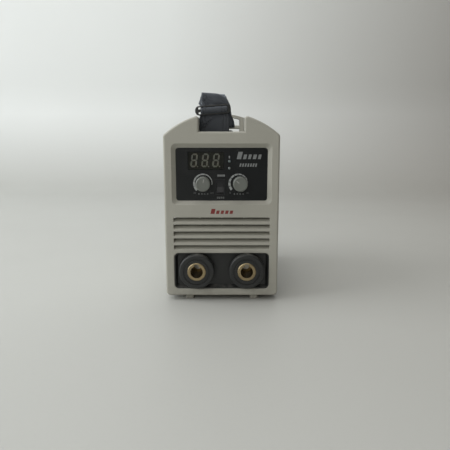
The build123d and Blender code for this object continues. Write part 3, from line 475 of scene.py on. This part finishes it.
def heatsink_aluminium():
    s = Surface("heatsink_aluminium", (0.55, 0.56, 0.57), 0.42, 1.0)
    lines = s.noise(60, 5, where=s.placed((14, 0.25, 14)))
    s.tint(s.ramp(lines, 0.4, 0.7, (0, 0.7)), (0.38, 0.39, 0.41))
    s.tint(s.ramp(s.noise(50, 4), 0.55, 0.8, (0, 0.4)), (0.28, 0.28, 0.28))
    s.rough(lines, 0.3, 0.6)
    s.relief(lines, 0.00004, 0.7)
    return s


def copper():
    s = plated("copper", (0.60, 0.28, 0.16), 0.34, (0.30, 0.14, 0.09))
    s.relief(s.bands(140, "Z"), 0.0005, 0.8)
    return s


def epoxy():
    s = Surface("epoxy", (0.018, 0.018, 0.019), 0.5)
    s.tint(s.ramp(s.noise(220, 4), 0.5, 0.75), (0.034, 0.034, 0.034))
    s.tint(s.ramp(s.noise(1400, 2), 0.6, 0.75, (0, 0.5)), (0.07, 0.07, 0.07))
    s.rough(s.noise(120, 3), 0.4, 0.68)
    s.relief(s.noise(1800, 3), 0.00003, 0.6)
    return s


def capacitor_sleeve():
    """Shrunk sleeve with fine pull lines and darker patches."""
    s = Surface("capacitor_sleeve", (0.012, 0.022, 0.05), 0.26)
    pull = s.noise(70, 4, where=s.placed((3, 3, 0.3)))
    s.tint(s.ramp(pull, 0.5, 0.78), (0.02, 0.035, 0.075))
    s.tint(s.ramp(s.noise(300, 2), 0.5, 0.7, (0, 0.4)), (0.008, 0.014, 0.03))
    s.rough(pull, 0.18, 0.38)
    s.relief(pull, 0.00008, 0.6)
    return s


def ferrite():
    s = Surface("ferrite", (0.036, 0.035, 0.036), 0.55)
    s.tint(s.ramp(s.noise(180, 5), 0.45, 0.75), (0.06, 0.057, 0.055))
    s.tint(s.ramp(s.cells(700), 0.22, 0.1, (0, 0.6)), (0.11, 0.105, 0.1))
    s.rough(s.noise(150, 4), 0.42, 0.72)
    s.relief(s.noise(900, 4), 0.00006, 0.7)
    return s


def foot_rubber():
    s = Surface("foot_rubber", (0.34, 0.33, 0.285), 0.72)
    s.tint(s.ramp(s.noise(160, 5), 0.45, 0.75), (0.27, 0.262, 0.225))
    # Darker towards the bottom, in patches.
    low = s.ramp(s.axis("Z"), 0.0022, 0.0004)
    darker_patches = s.ramp(s.noise(500, 4), 0.4, 0.65, (0, 0.7))
    s.tint(s.maths("MULTIPLY", low, darker_patches), (0.15, 0.138, 0.12))
    s.rough(s.noise(200, 3), 0.6, 0.85)
    s.relief(s.noise(1500, 3), 0.00005, 0.7)
    return s


CHEVRON = 0.0036
TWILL_PITCH = 0.0013
WARP_PITCH = 0.00075
SELVEDGES = (0.0021, 0.0052)
HALF_WEB = 0.0145


def webbing():
    """Woven strap: a herringbone twill with two corded selvedges, lint in the hollows, and painted
    light on its upper part.
    """
    s = Surface("webbing", (0.040, 0.046, 0.056), 0.72, space="UV")
    across = s.axis("X")
    chevron = s.maths("ADD", s.axis("Y"), s.maths("PINGPONG", across, CHEVRON))
    twill = s.maths("SINE", s.maths("MULTIPLY", chevron, FULL_TURN / TWILL_PITCH))
    warp = s.maths("SINE", s.maths("MULTIPLY", across, FULL_TURN / WARP_PITCH))
    weave = s.ramp(s.maths("ADD", twill, s.maths("MULTIPLY", warp, 0.7)), -1.7, 1.7)
    s.tint(s.ramp(weave, 0.45, 0.05), (0.016, 0.018, 0.022))
    s.tint(s.ramp(weave, 0.6, 1.0, (0, 0.6)), (0.075, 0.082, 0.095))
    s.tint(s.ramp(s.noise(120, 5), 0.45, 0.75, (0, 0.5)), (0.06, 0.062, 0.068))
    # Painted light: the strap is paler above 204 mm, where its top leans back towards the ceiling
    # light.
    place = s.tree.nodes.new("ShaderNodeTexCoord").outputs["Object"]
    s.tint(s.ramp(s.axis("Z", place), 0.199, 0.209, (0, 0.5)), (0.095, 0.105, 0.122))
    s.tint(s.ramp(s.noise(2600, 2), 0.66, 0.74, (0, 0.35)), (0.17, 0.17, 0.165))
    edge = s.maths("PINGPONG", across, HALF_WEB)
    away = [s.maths("ABSOLUTE", s.maths("SUBTRACT", edge, line)) for line in SELVEDGES]
    groove = s.ramp(s.maths("MINIMUM", *away), 0.0005, 0.0002)
    s.tint(s.maths("MULTIPLY", groove, 0.75), (0.014, 0.016, 0.019))
    s.rough(weave, 0.62, 0.86)
    s.relief(weave, 0.00022, 0.9)
    s.relief(groove, -0.0003, 0.8)
    s.relief(s.noise(3200, 2), 0.00005, 0.5)
    s.set(Sheen_Weight=0.7, Sheen_Roughness=0.4, Sheen_Tint=(0.62, 0.70, 0.80, 1))
    return s


def thread():
    s = Surface("strap_thread", (0.075, 0.08, 0.09), 0.6)
    s.tint(s.bands(1400, "X", twist=2.0), (0.035, 0.038, 0.045))
    s.tint(s.ramp(s.noise(700, 3), 0.5, 0.8, (0, 0.5)), (0.14, 0.145, 0.155))
    s.rough(s.noise(900, 2), 0.45, 0.75)
    s.relief(s.bands(1400, "X", twist=2.0), 0.00008, 0.8)
    return s


def ink(name, colour, wear):
    """Screen printed ink: slightly raised, uneven in cover and rubbed at random."""
    s = Surface(name, colour, 0.42)
    s.tint(s.ramp(s.noise(900, 4, rough=0.6), 0.45, 0.75, (0, wear)), [c * 0.45 for c in colour])
    s.tint(s.ramp(s.noise(140, 3), 0.5, 0.8, (0, wear)), [c * 0.7 for c in colour])
    s.rough(s.noise(700, 2), 0.34, 0.56)
    s.relief(s.noise(2600, 2), 0.00001, 0.4)
    return s


def table_top():
    """Pale matt laminate; the part in front of the camera lies in shade."""
    s = Surface("table_top", (0.50, 0.505, 0.48), 0.5)
    s.tint(s.ramp(s.noise(1.6, 4), 0.4, 0.7, (0, 0.5)), (0.475, 0.48, 0.455))
    s.tint(s.ramp(s.noise(260, 4), 0.55, 0.75, (0, 0.15)), (0.43, 0.43, 0.41))
    s.tint(s.ramp(s.axis("Z"), 0.02, 0.25), (0.78, 0.80, 0.785))
    # Painted shade: the floor and wall darken towards the right, away from the window light.
    s.tint(s.ramp(s.axis("X"), -0.2, 0.9, (0, 0.7)), (0.36, 0.335, 0.30))
    fading = s.ramp(s.axis("Y"), -0.42, -0.72)
    near = s.maths("MULTIPLY", fading, s.ramp(s.axis("Y"), -1.9, -1.2))
    left = s.ramp(s.axis("X"), -0.3, -0.02, (0.3, 0.8))
    right = s.ramp(s.axis("X"), 0.05, 0.4, (0.8, 0.3))
    s.tint(s.maths("MULTIPLY", near, s.maths("MINIMUM", left, right)), (0.05, 0.052, 0.054))
    s.rough(s.noise(6, 4), 0.42, 0.62)
    s.relief(s.noise(300, 3), 0.00005, 0.3)
    return s


FINISHES = {
    "frame_plastic": frame_plastic,
    "cover_paint": cover_paint,
    "galvanised_steel": galvanised_steel,
    "panel_gloss": panel_gloss,
    "smoked_lens": smoked_lens,
    "display_plastic": display_plastic,
    "segment_plastic": segment_plastic,
    "led_lens": led_lens,
    "circuit_board": circuit_board,
    "knob_plastic": knob_plastic,
    "black_plastic": black_plastic,
    "zinc_steel": zinc_steel,
    "socket_brass": socket_brass,
    "copper": copper,
    "webbing": webbing,
    "foot_rubber": foot_rubber,
    "heatsink_aluminium": heatsink_aluminium,
    "epoxy": epoxy,
    "capacitor_sleeve": capacitor_sleeve,
    "ferrite": ferrite,
}


def finish_nodes():
    """Gives every CAD node the material of its record slot."""
    packed = {place.material for node in NODES.values() for place in node.material_slots}
    slot_of = {material: material.name for material in packed}
    made = {}
    for material, name in sorted(slot_of.items(), key=lambda pair: pair[1]):
        material.name = name + "_packed"
        made[name] = FINISHES[name]().material
    for node in NODES.values():
        for place in node.material_slots:
            place.material = made[slot_of[place.material]]
    return made


# ---------------------------------------------------------------- small mesh helpers


def new_piece(name, mesh, material, body="casing"):
    """An object of the model that rides on a CAD body."""
    mesh.materials.clear()
    mesh.materials.append(material)
    piece = bpy.data.objects.new(name, mesh)
    bpy.context.scene.collection.objects.link(piece)
    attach(piece, body)
    return piece


ARC_STEP = 4
SCALE_INNER = 8.7
CAPITAL_SHARE = 0.7
FIGURE_DEPTH = 0.00002


class Print:
    """Flat ink shapes on a front face, drawn in X and Z millimetres."""

    def __init__(self, face_y, thickness=0.04):
        self.mesh = bmesh.new()
        self.front = (face_y - thickness) * MM
        self.back = (face_y + 0.01) * MM

    def shape(self, outline):
        """One closed outline, given anticlockwise as seen from the front."""
        front = [self.mesh.verts.new((x * MM, self.front, z * MM)) for x, z in outline]
        back = [self.mesh.verts.new((x * MM, self.back, z * MM)) for x, z in outline]
        self.mesh.faces.new(front)
        self.mesh.faces.new(back[::-1])
        for i in range(len(outline)):
            j = (i + 1) % len(outline)
            self.mesh.faces.new((front[j], front[i], back[i], back[j]))

    def bar(self, x, z, width, height, lean=0.0):
        """A parallelogram on its lower left corner, its top moved right by lean."""
        top = z + height
        self.shape([(x, z), (x + width, z), (x + width + lean, top), (x + lean, top)])

    def arc(self, centre, outer, start, end):
        """Part of a ring, clockwise between two angles; outer is its radius at each end."""
        steps = max(2, int((start - end) / ARC_STEP))
        rim, hollow = [], []
        for i in range(steps + 1):
            share = i / steps
            angle = math.radians(start + (end - start) * share)
            radius = outer[0] + (outer[1] - outer[0]) * share
            for line, reach in ((rim, radius), (hollow, SCALE_INNER)):
                x = centre[0] + reach * math.cos(angle)
                line.append((x, centre[1] + reach * math.sin(angle)))
        self.shape((rim + hollow[::-1])[::-1])

    def figures(self, text, x, z, height):
        """Small plain numerals, centred on a point."""
        curve = bpy.data.curves.new("figures", "FONT")
        curve.body = text
        curve.size = height * MM / CAPITAL_SHARE
        curve.align_x = "CENTER"
        curve.align_y = "CENTER"
        curve.extrude = FIGURE_DEPTH
        curve.resolution_u = 3
        holder = bpy.data.objects.new("figures", curve)
        bpy.context.scene.collection.objects.link(holder)
        bpy.context.view_layer.update()
        evaluated = holder.evaluated_get(bpy.context.evaluated_depsgraph_get())
        mesh = bpy.data.meshes.new_from_object(evaluated)
        place = Matrix.Translation((x * MM, self.front + FIGURE_DEPTH, z * MM))
        mesh.transform(place @ Matrix.Rotation(math.radians(90), 4, "X"))
        self.mesh.from_mesh(mesh)
        bpy.data.meshes.remove(mesh)
        bpy.data.objects.remove(holder)
        bpy.data.curves.remove(curve)

    def piece(self, name, material, body="casing", slot=None):
        mesh = bpy.data.meshes.new(name)
        self.mesh.to_mesh(mesh)
        self.mesh.free()
        return new_piece(name, mesh, material, body)


# ---------------------------------------------------------------- front panel print

PANEL_Y = -95.0
FACE_Y = -99.0
MARK_SLANT = 0.24
SCALE_SWEEP = 250
FIGURE_HEIGHT = 1.9
FIGURE_Z = 116.4
FIGURE_SHIFT = 9.0

KNOB_SCALES = (
    # centre, first angle, pitch, length, (growth, its loss, taper), numerals at the ends
    ((-19.3, 126.6), 228, 30, 28, (2.1, 0.62, 0.1), ("20", "200")),
    ((17.9, 126.6), 222, 26, 22, (2.5, 0.75, 0.3), ("0", "10")),
)


def knob_scales(white):
    """Arcs round the knobs, thick at their low end and thin at their high end."""
    scales = Print(PANEL_Y)
    for centre, first, pitch, length, (growth, loss, taper), _ in KNOB_SCALES:
        for start in range(first, -10, -pitch):
            share = (first - start) / SCALE_SWEEP
            outer = SCALE_INNER + growth * (1 - loss * share)
            scales.arc(centre, (outer, outer - taper), start, start - length)
    scales.piece("scale_print", white)


def faint_legends(grey):
    """Numerals at the ends of the knob scales, and small legends as plain bars."""
    faint = Print(PANEL_Y)
    for centre, _, _, _, _, (low, high) in KNOB_SCALES:
        faint.figures(low, centre[0] - FIGURE_SHIFT, FIGURE_Z, FIGURE_HEIGHT)
        faint.figures(high, centre[0] + FIGURE_SHIFT, FIGURE_Z, FIGURE_HEIGHT)
        for step in (-4.5, -1.5, 1.5, 4.5):
            faint.bar(centre[0] + step - 0.7, 114.6, 1.4, 1.5)
    for i in range(4):
        faint.bar(-5.1 + 2.05 * i, 110.4, 1.6, 2.0)
    faint.piece("faint_print", grey)


def front_prints():
    knob_scales(ink("white_ink", (0.34, 0.355, 0.35), 0.5).material)
    faint_legends(ink("grey_ink", (0.11, 0.115, 0.115), 0.5).material)

    marks = Print(PANEL_Y)
    for i in range(4):
        marks.bar(-4.5 + 2.05 * i, 133.6, 1.7, 2.1)
    marks.bar(7.4, 152.4, 1.3, 2.6)
    slanted_bars(marks, 15.6, 151.6, (4.6, 3.2, 3.0, 3.4, 3.0), (7.6, 4.8, 4.8, 4.8, 4.8), 1.9)
    slanted_bars(marks, 18.4, 143.8, (1.6,) * 7, (3.4,) * 7, 1.1)
    marks.piece("panel_mark", ink("pale_ink", (0.21, 0.22, 0.22), 0.5).material)

    badge = Print(FACE_Y)
    slanted_bars(badge, -11.8, 94.8, (4.2, 3.2, 3.0, 3.2, 3.2), (5.4, 3.6, 3.6, 3.6, 3.6), 1.6)
    badge.piece("front_badge", ink("red_ink", (0.21, 0.028, 0.026), 0.35).material)


def slanted_bars(sheet, x, z, widths, heights, gap):
    """A plain row of leaning bars on one base line."""
    for width, height in zip(widths, heights):
        sheet.bar(x, z, width, height, MARK_SLANT * height)
        x += width + gap


KNOB_DISH = 0.4
POINTER = ((1.6, -0.35), (5.3, -0.45), (5.3, 0.45), (1.6, 0.35))


def knob_pointers():
    """A filled line in the dish of each knob."""
    pale = ink("pointer_ink", (0.36, 0.37, 0.35), 0.4).material
    for name, turn in (("current", 78), ("arc_force", 140)):
        low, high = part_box(name + "_knob")
        x, z = (low.x + high.x) / 2 / MM, (low.z + high.z) / 2 / MM
        line = Print(low.y / MM + KNOB_DISH, 0.12)
        c, s = math.cos(math.radians(turn)), math.sin(math.radians(turn))
        line.shape([(x + c * a - s * b, z + s * a + c * b) for a, b in POINTER])
        line.piece(name + "_pointer", pale, name + "_control", "knob_plastic")


# ---------------------------------------------------------------- carrying strap

STRAP_WIDTH = 30.6
STRAP_THICK = 1.2
STRAP_STEP = 0.7
COLUMNS = 20
LAYERS = 10
SLIDER_PLACE = (-8.9, 201.6)
SLIDER_LEAN = 4.5
NOTCH_FLOOR = 180.0
CREST = 217.0
FOLD_HEIGHT = 34.0
FINE_STEPS = 24


def smooth_line(stations, step):
    """Even points along a Catmull-Rom line; every station is x, y, z and lean in one row."""
    rows = np.array(stations, float)
    rows = np.vstack([2 * rows[0] - rows[1], rows, 2 * rows[-1] - rows[-2]])
    fine = []
    for i in range(1, len(rows) - 2):
        a, b, c, d = rows[i - 1 : i + 3]
        knots = [0.0]
        for p, q in ((a, b), (b, c), (c, d)):
            knots.append(knots[-1] + max(np.linalg.norm(q[:3] - p[:3]), 1e-6) ** 0.5)
        for t in np.linspace(knots[1], knots[2], FINE_STEPS, endpoint=False):
            ab = a + (b - a) * (t - knots[0]) / (knots[1] - knots[0])
            bc = b + (c - b) * (t - knots[1]) / (knots[2] - knots[1])
            cd = c + (d - c) * (t - knots[2]) / (knots[3] - knots[2])
            abc = ab + (bc - ab) * (t - knots[0]) / (knots[2] - knots[0])
            bcd = bc + (cd - bc) * (t - knots[1]) / (knots[3] - knots[1])
            fine.append(abc + (bcd - abc) * (t - knots[1]) / (knots[2] - knots[1]))
    fine.append(rows[-2])
    fine = np.array(fine)
    along = np.concatenate([[0], np.cumsum(np.linalg.norm(np.diff(fine[:, :3], axis=0), axis=1))])
    places = np.linspace(0, along[-1], int(along[-1] / step) + 1)
    even = np.column_stack([np.interp(places, along, fine[:, k]) for k in range(4)])
    return even, along[-1]


def rear_stations():
    """From the sewn end on the cover, round the rear bar, and forward to the front slot."""
    x = -7.0
    line = [(-34, 180.45), (-20, 180.4), (0, 180.35), (24, 180.35), (40, 180.6), (48, 183.2)]
    line += [(55, 188.3), (59.5, 189.55), (63.5, 189.5), (66.3, 188.5), (67.0, 186.4)]
    line += [(66.3, 184.2), (63.5, 183.25), (57, 182.5), (50, 180.6), (43, 179.3)]
    line += [(30, 179.05), (10, 179.05)]
    stations = [(x, y, z, 0.0) for y, z in line]
    stations += [(-5.6, -34, 179.05, 0.0), (-3.2, -58, 179.1, 0.0), (-3.2, -67, 179.7, 0.0)]
    stations += [(-4.6, -73, 180.35, 0.0), (-6.3, -77.5, 180.35, 0.0), (-7.1, -80.2, 179.9, 0.0)]
    return stations + [(-7.5, -81.7, 178.2, 0.0), (-7.6, -82.2, 175.5, 0.0)]


def pin_stations():
    """Under the front pin and up through the slot to the slider."""
    x = -7.6
    line = [(-82.25, 171.5), (-83.0, 168.6), (-85, 167.75), (-87.0, 168.6), (-87.75, 171.5)]
    stations = [(x, y, z, 0.0) for y, z in line + [(-87.8, 176)]]
    for y, z in ((-88.0, 183), (-88.35, 190)):
        stations.append((x + 0.05 * (z - NOTCH_FLOOR), y, z, -2.0))
    return stations + [(x, -88.4, 195.2, -2.0)]


def slider_stations():
    """Through the lower slot, over the middle bar and back through the upper slot."""
    x = SLIDER_PLACE[0]
    line = [(-5.2, -88.35), (-3.5, -88.8), (-2.6, -90.4), (-2.0, -92.1), (0.0, -92.75)]
    line += [(2.0, -92.1), (2.6, -90.4), (3.5, -88.8)]
    stations = [(x, y, SLIDER_PLACE[1] + z, SLIDER_LEAN) for z, y in line]
    return stations + [(x + 0.8, -88.3, SLIDER_PLACE[1] + 5.2, 4.0)]


FIRST_LAYER = -88.3
LAYER_PITCH = 1.62
FOLD_PITCH = 4.15
CREST_HEIGHTS = (217.5, 216.0, 217.0, 214.6, 213.4)
BOTTOM_X = (-8.2, -4.6, -2.6, -1.8, -1.5, -1.8, -2.8, -2.4, -3.8, -4.6)
TOP_X = (-5.6, -5.9, -6.3, -5.9, -6.9, -6.4, -6.8, -6.2, -7.2, -6.8)


def layer_lean(k):
    return -math.degrees(math.atan((TOP_X[k] - BOTTOM_X[k]) / FOLD_HEIGHT))


def layer_x(k, z):
    """The middle of a layer: straight down from its crest, then swung to the right."""
    return TOP_X[k] + (BOTTOM_X[k] - TOP_X[k]) * ((CREST + 0.5 - z) / FOLD_HEIGHT) ** 3.6


def layer_heights(k):
    """Up on even layers and down on odd ones; the first starts above the slider."""
    if k == 0:
        return [211.0]
    rising = [190, 196, 203, 208.5]
    return rising[::-1] if k % 2 else rising


def layer_stations():
    """The spare webbing folded up and down behind the slider, each fold a little different."""
    chance = random.Random(11)
    stations = []
    for k in range(LAYERS):
        level = FIRST_LAYER + LAYER_PITCH * k
        lean = layer_lean(k)
        wander = chance.uniform(-0.12, 0.12)
        for z in layer_heights(k):
            spread = 0.28 * (k - 4.5) * max(0.0, (z - 204) / 6)
            stations.append((layer_x(k, z), level + wander + spread, z, lean))
        if k % 2 == 0:
            middle = FIRST_LAYER + FOLD_PITCH * (k // 2)
            top = CREST_HEIGHTS[k // 2]
            for dy, dz in ((-1.75, -3.6), (-1.5, -1.3), (0.0, 0.0), (1.5, -1.3), (1.75, -3.6)):
                stations.append((layer_x(k, top), middle + dy, top + dz, lean))
        elif k < LAYERS - 1:
            middle = level + LAYER_PITCH / 2
            low = 183.1 + chance.uniform(0, 0.8)
            turn = (lean + layer_lean(k + 1)) / 2
            for dy, dz in ((-1.2, 2.6), (-1.0, 0.8), (0.0, 0.0), (1.0, 0.8), (1.2, 2.6)):
                stations.append((BOTTOM_X[k], middle + dy, low + dz, turn))
    return stations


def ease(value, low, high):
    """0 below low, 1 above high, and smooth between."""
    t = np.clip((value - low) / (high - low), 0, 1)
    return t * t * (3 - 2 * t)


def crush(points):
    """The right shoulder droops, the slider pinches the web, and its edges wander a little."""
    x, y, z = points.T
    shoulder = ease(z, 203, 217) * ease(x, -6, 9)
    x -= 4.8 * shoulder
    y += 1.6 * shoulder
    z -= 1.8 * shoulder * ease(z, 209, 217)
    x += 0.4 * ease(z, 212, 218) * ease(-x, 14, 22)
    near_slider = 1 - ease(np.abs(z - SLIDER_PLACE[1]), 5.0, 10.0)
    threaded = near_slider * (1 - ease(y, -88.0, -86.8))
    x -= 0.11 * threaded * (x - 2.6)
    x += 0.18 * np.sin(z * 0.55 + y * 0.9) * ease(z, 184, 192)
    return np.column_stack([x, y, z])


def unit_rows(vectors):
    return vectors / np.linalg.norm(vectors, axis=1)[:, None]


def strap_points(line, along, share):
    """Both skins of the ribbon, front first, with a soft crown and thin selvedges."""
    rows = len(line)
    tangent = unit_rows(np.gradient(line[:, :3], axis=0))
    lean = np.radians(line[:, 3])
    across = np.column_stack([np.cos(lean), np.zeros(rows), np.sin(lean)])
    across = unit_rows(across - (across * tangent).sum(1)[:, None] * tangent)
    normal = np.cross(tangent, across)
    reach = (share * STRAP_WIDTH / 2)[None, :, None]
    thick = STRAP_THICK / 2 * (1 - 0.35 * np.abs(share) ** 12)
    ripple = 0.05 * np.sin(along[:, None] * 0.45 + share[None, :] * 2.6)
    skins = []
    for side in (1, -1):
        offset = side * thick[None, :] + ripple
        skin = line[:, None, :3] + across[:, None, :] * reach
        skins.append((skin + normal[:, None, :] * offset[:, :, None]).reshape(-1, 3))
    return crush(np.vstack(skins)) * MM


def strap_mesh(line):
    """A closed ribbon along the line, with its weave coordinates in metres."""
    rows = len(line)
    share = np.linspace(-1, 1, COLUMNS)
    steps = np.linalg.norm(np.diff(line[:, :3], axis=0), axis=1)
    along = np.concatenate([[0], np.cumsum(steps)])
    faces, uvs = [], []

    def face(corners, order, at_edge=False):
        """Corners are (skin, row, column); at_edge lays the cut edge on the selvedge line."""
        spots = [skin * rows * COLUMNS + r * COLUMNS + c for skin, r, c in corners]
        place = []
        for _, r, c in corners:
            u = 0.0 if at_edge else (share[c] + 1) / 2 * STRAP_WIDTH * MM
            place.append((u, along[r] * MM))
        faces.append(spots[::order])
        uvs.append(place[::order])

    for r in range(rows - 1):
        for c in range(COLUMNS - 1):
            quad = [(r, c), (r, c + 1), (r + 1, c + 1), (r + 1, c)]
            face([(0, *spot) for spot in quad], 1)
            face([(1, *spot) for spot in quad], -1)
        for c, order in ((0, 1), (COLUMNS - 1, -1)):
            face([(0, r, c), (0, r + 1, c), (1, r + 1, c), (1, r, c)], order, at_edge=True)
    for r, order in ((0, -1), (rows - 1, 1)):
        for c in range(COLUMNS - 1):
            face([(0, r, c), (0, r, c + 1), (1, r, c + 1), (1, r, c)], order)
    mesh = bpy.data.meshes.new("carrying_strap")
    mesh.from_pydata(strap_points(line, along, share).tolist(), [], faces)
    layer = mesh.uv_layers.new(name="weave")
    layer.data.foreach_set("uv", np.array([c for place in uvs for c in place], float).ravel())
    smooth(mesh)
    return mesh


THREAD_RADIUS = 0.26
BEAD_SHARE = 0.43
BEAD_SIDES = 8


def stitch_rings(bm, middle, step, along, side, out):
    """The seven rings of one thread bead, narrow at its ends."""
    rings = []
    for k in range(7):
        t = -1 + k / 3
        radius = THREAD_RADIUS * math.sqrt(max(0.02, 1 - t * t))
        centre = middle + along * (BEAD_SHARE * step.length * t)
        ring = []
        for j in range(BEAD_SIDES):
            angle = FULL_TURN * j / BEAD_SIDES
            point = centre + side * (radius * math.cos(angle)) + out * (radius * math.sin(angle))
            ring.append(bm.verts.new(point * MM))
        rings.append(ring)
    return rings


def stitch_mesh(name, runs, out):
    """Rows of thread beads; a run is its start, its end and the number of beads."""
    bm = bmesh.new()
    for start, end, count in runs:
        start, end = Vector(start), Vector(end)
        step = (end - start) / count
        along = step.normalized()
        side = out.cross(along)
        for i in range(count):
            rings = stitch_rings(bm, start + step * (i + 0.5), step, along, side, out)
            for a, b in zip(rings, rings[1:]):
                for j in range(BEAD_SIDES):
                    k = (j + 1) % BEAD_SIDES
                    bm.faces.new((a[j], a[k], b[k], b[j]))
            bm.faces.new(rings[0][::-1])
            bm.faces.new(rings[-1])
    mesh = bpy.data.meshes.new(name)
    bm.to_mesh(mesh)
    bm.free()
    smooth(mesh)
    return mesh


SEAM_TOP = 181.12
SEAM_X = (-18.5, 4.5)
SEAM_Y = (-31.5, -16.0)


def seam_runs():
    """A sewn box with a cross in it, where the strap's end lies on the cover."""
    (left, right), (near, far) = SEAM_X, SEAM_Y
    ends = [
        ((left, near), (right, near), 10),
        ((left, far), (right, far), 10),
        ((left, near), (left, far), 7),
        ((right, near), (right, far), 7),
        ((left, near), (right, far), 12),
        ((right, near), (left, far), 12),
    ]
    return [((*start, SEAM_TOP), (*end, SEAM_TOP), count) for start, end, count in ends]


def carrying_strap(material):
    stations = rear_stations() + pin_stations() + slider_stations() + layer_stations()
    line, length = smooth_line(stations, STRAP_STEP)
    strap = new_piece("carrying_strap", strap_mesh(line), material, "casing")
    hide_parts("strap_bundle", "strap_run")
    stitches = stitch_mesh("strap_stitching", seam_runs(), Vector((0, 0, 1)))
    seam = new_piece("strap_stitching", stitches, thread().material, "casing")
    print("strap length in millimetres", round(length, 1))


# ---------------------------------------------------------------- rear details


STUD_RADIUS = 2.5 * MM
STUD_PITCH = 0.8 * MM
STUD_DEPTH = 0.43 * 0.95 * MM
STUD_SIDES = 36
STUD_ROWS = 220
TIP_TAPER = 0.7 * MM
ROOT_TAPER = 0.4 * MM


def stud_radius(y, share, start, end):
    """The thread's radius at a height and a share of the turn, tapered at both ends."""
    phase = (y / STUD_PITCH + share) % 1.0
    depth = STUD_DEPTH * (1 - abs(2 * phase - 1))
    taper = max(0.0, TIP_TAPER - (end - y)) + max(0.0, ROOT_TAPER - (y - start))
    return max(STUD_RADIUS - depth - taper, STUD_RADIUS / 2)


def ground_stud(material):
    """The earth stud with its rolled thread, from the panel to its tip."""
    low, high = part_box("ground_stud")
    x, z = (low.x + high.x) / 2, (low.z + high.z) / 2
    bm = bmesh.new()
    rings = []
    for i in range(STUD_ROWS + 1):
        y = low.y + (high.y - low.y) * i / STUD_ROWS
        ring = []
        for j in range(STUD_SIDES):
            r = stud_radius(y, j / STUD_SIDES, low.y, high.y)
            angle = FULL_TURN * j / STUD_SIDES
            ring.append(bm.verts.new((x + r * math.cos(angle), y, z + r * math.sin(angle))))
        rings.append(ring)
    for a, b in zip(rings, rings[1:]):
        for j in range(STUD_SIDES):
            k = (j + 1) % STUD_SIDES
            bm.faces.new((a[j], b[j], b[k], a[k]))
    bm.faces.new(rings[0])
    bm.faces.new(rings[-1][::-1])
    mesh = bpy.data.meshes.new("threaded_ground_stud")
    bm.to_mesh(mesh)
    bm.free()
    stud = new_piece("threaded_ground_stud", mesh, material, "casing")
    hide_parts("ground_stud")


# ---------------------------------------------------------------- build

add_camera()
for lamp_row in LIGHTS:
    area_light(*lamp_row)
add_world()
made = finish_nodes()
add_floor(table_top().material)
front_prints()
knob_pointers()
carrying_strap(made["webbing"])
ground_stud(made["socket_brass"])

bpy.context.view_layer.update()
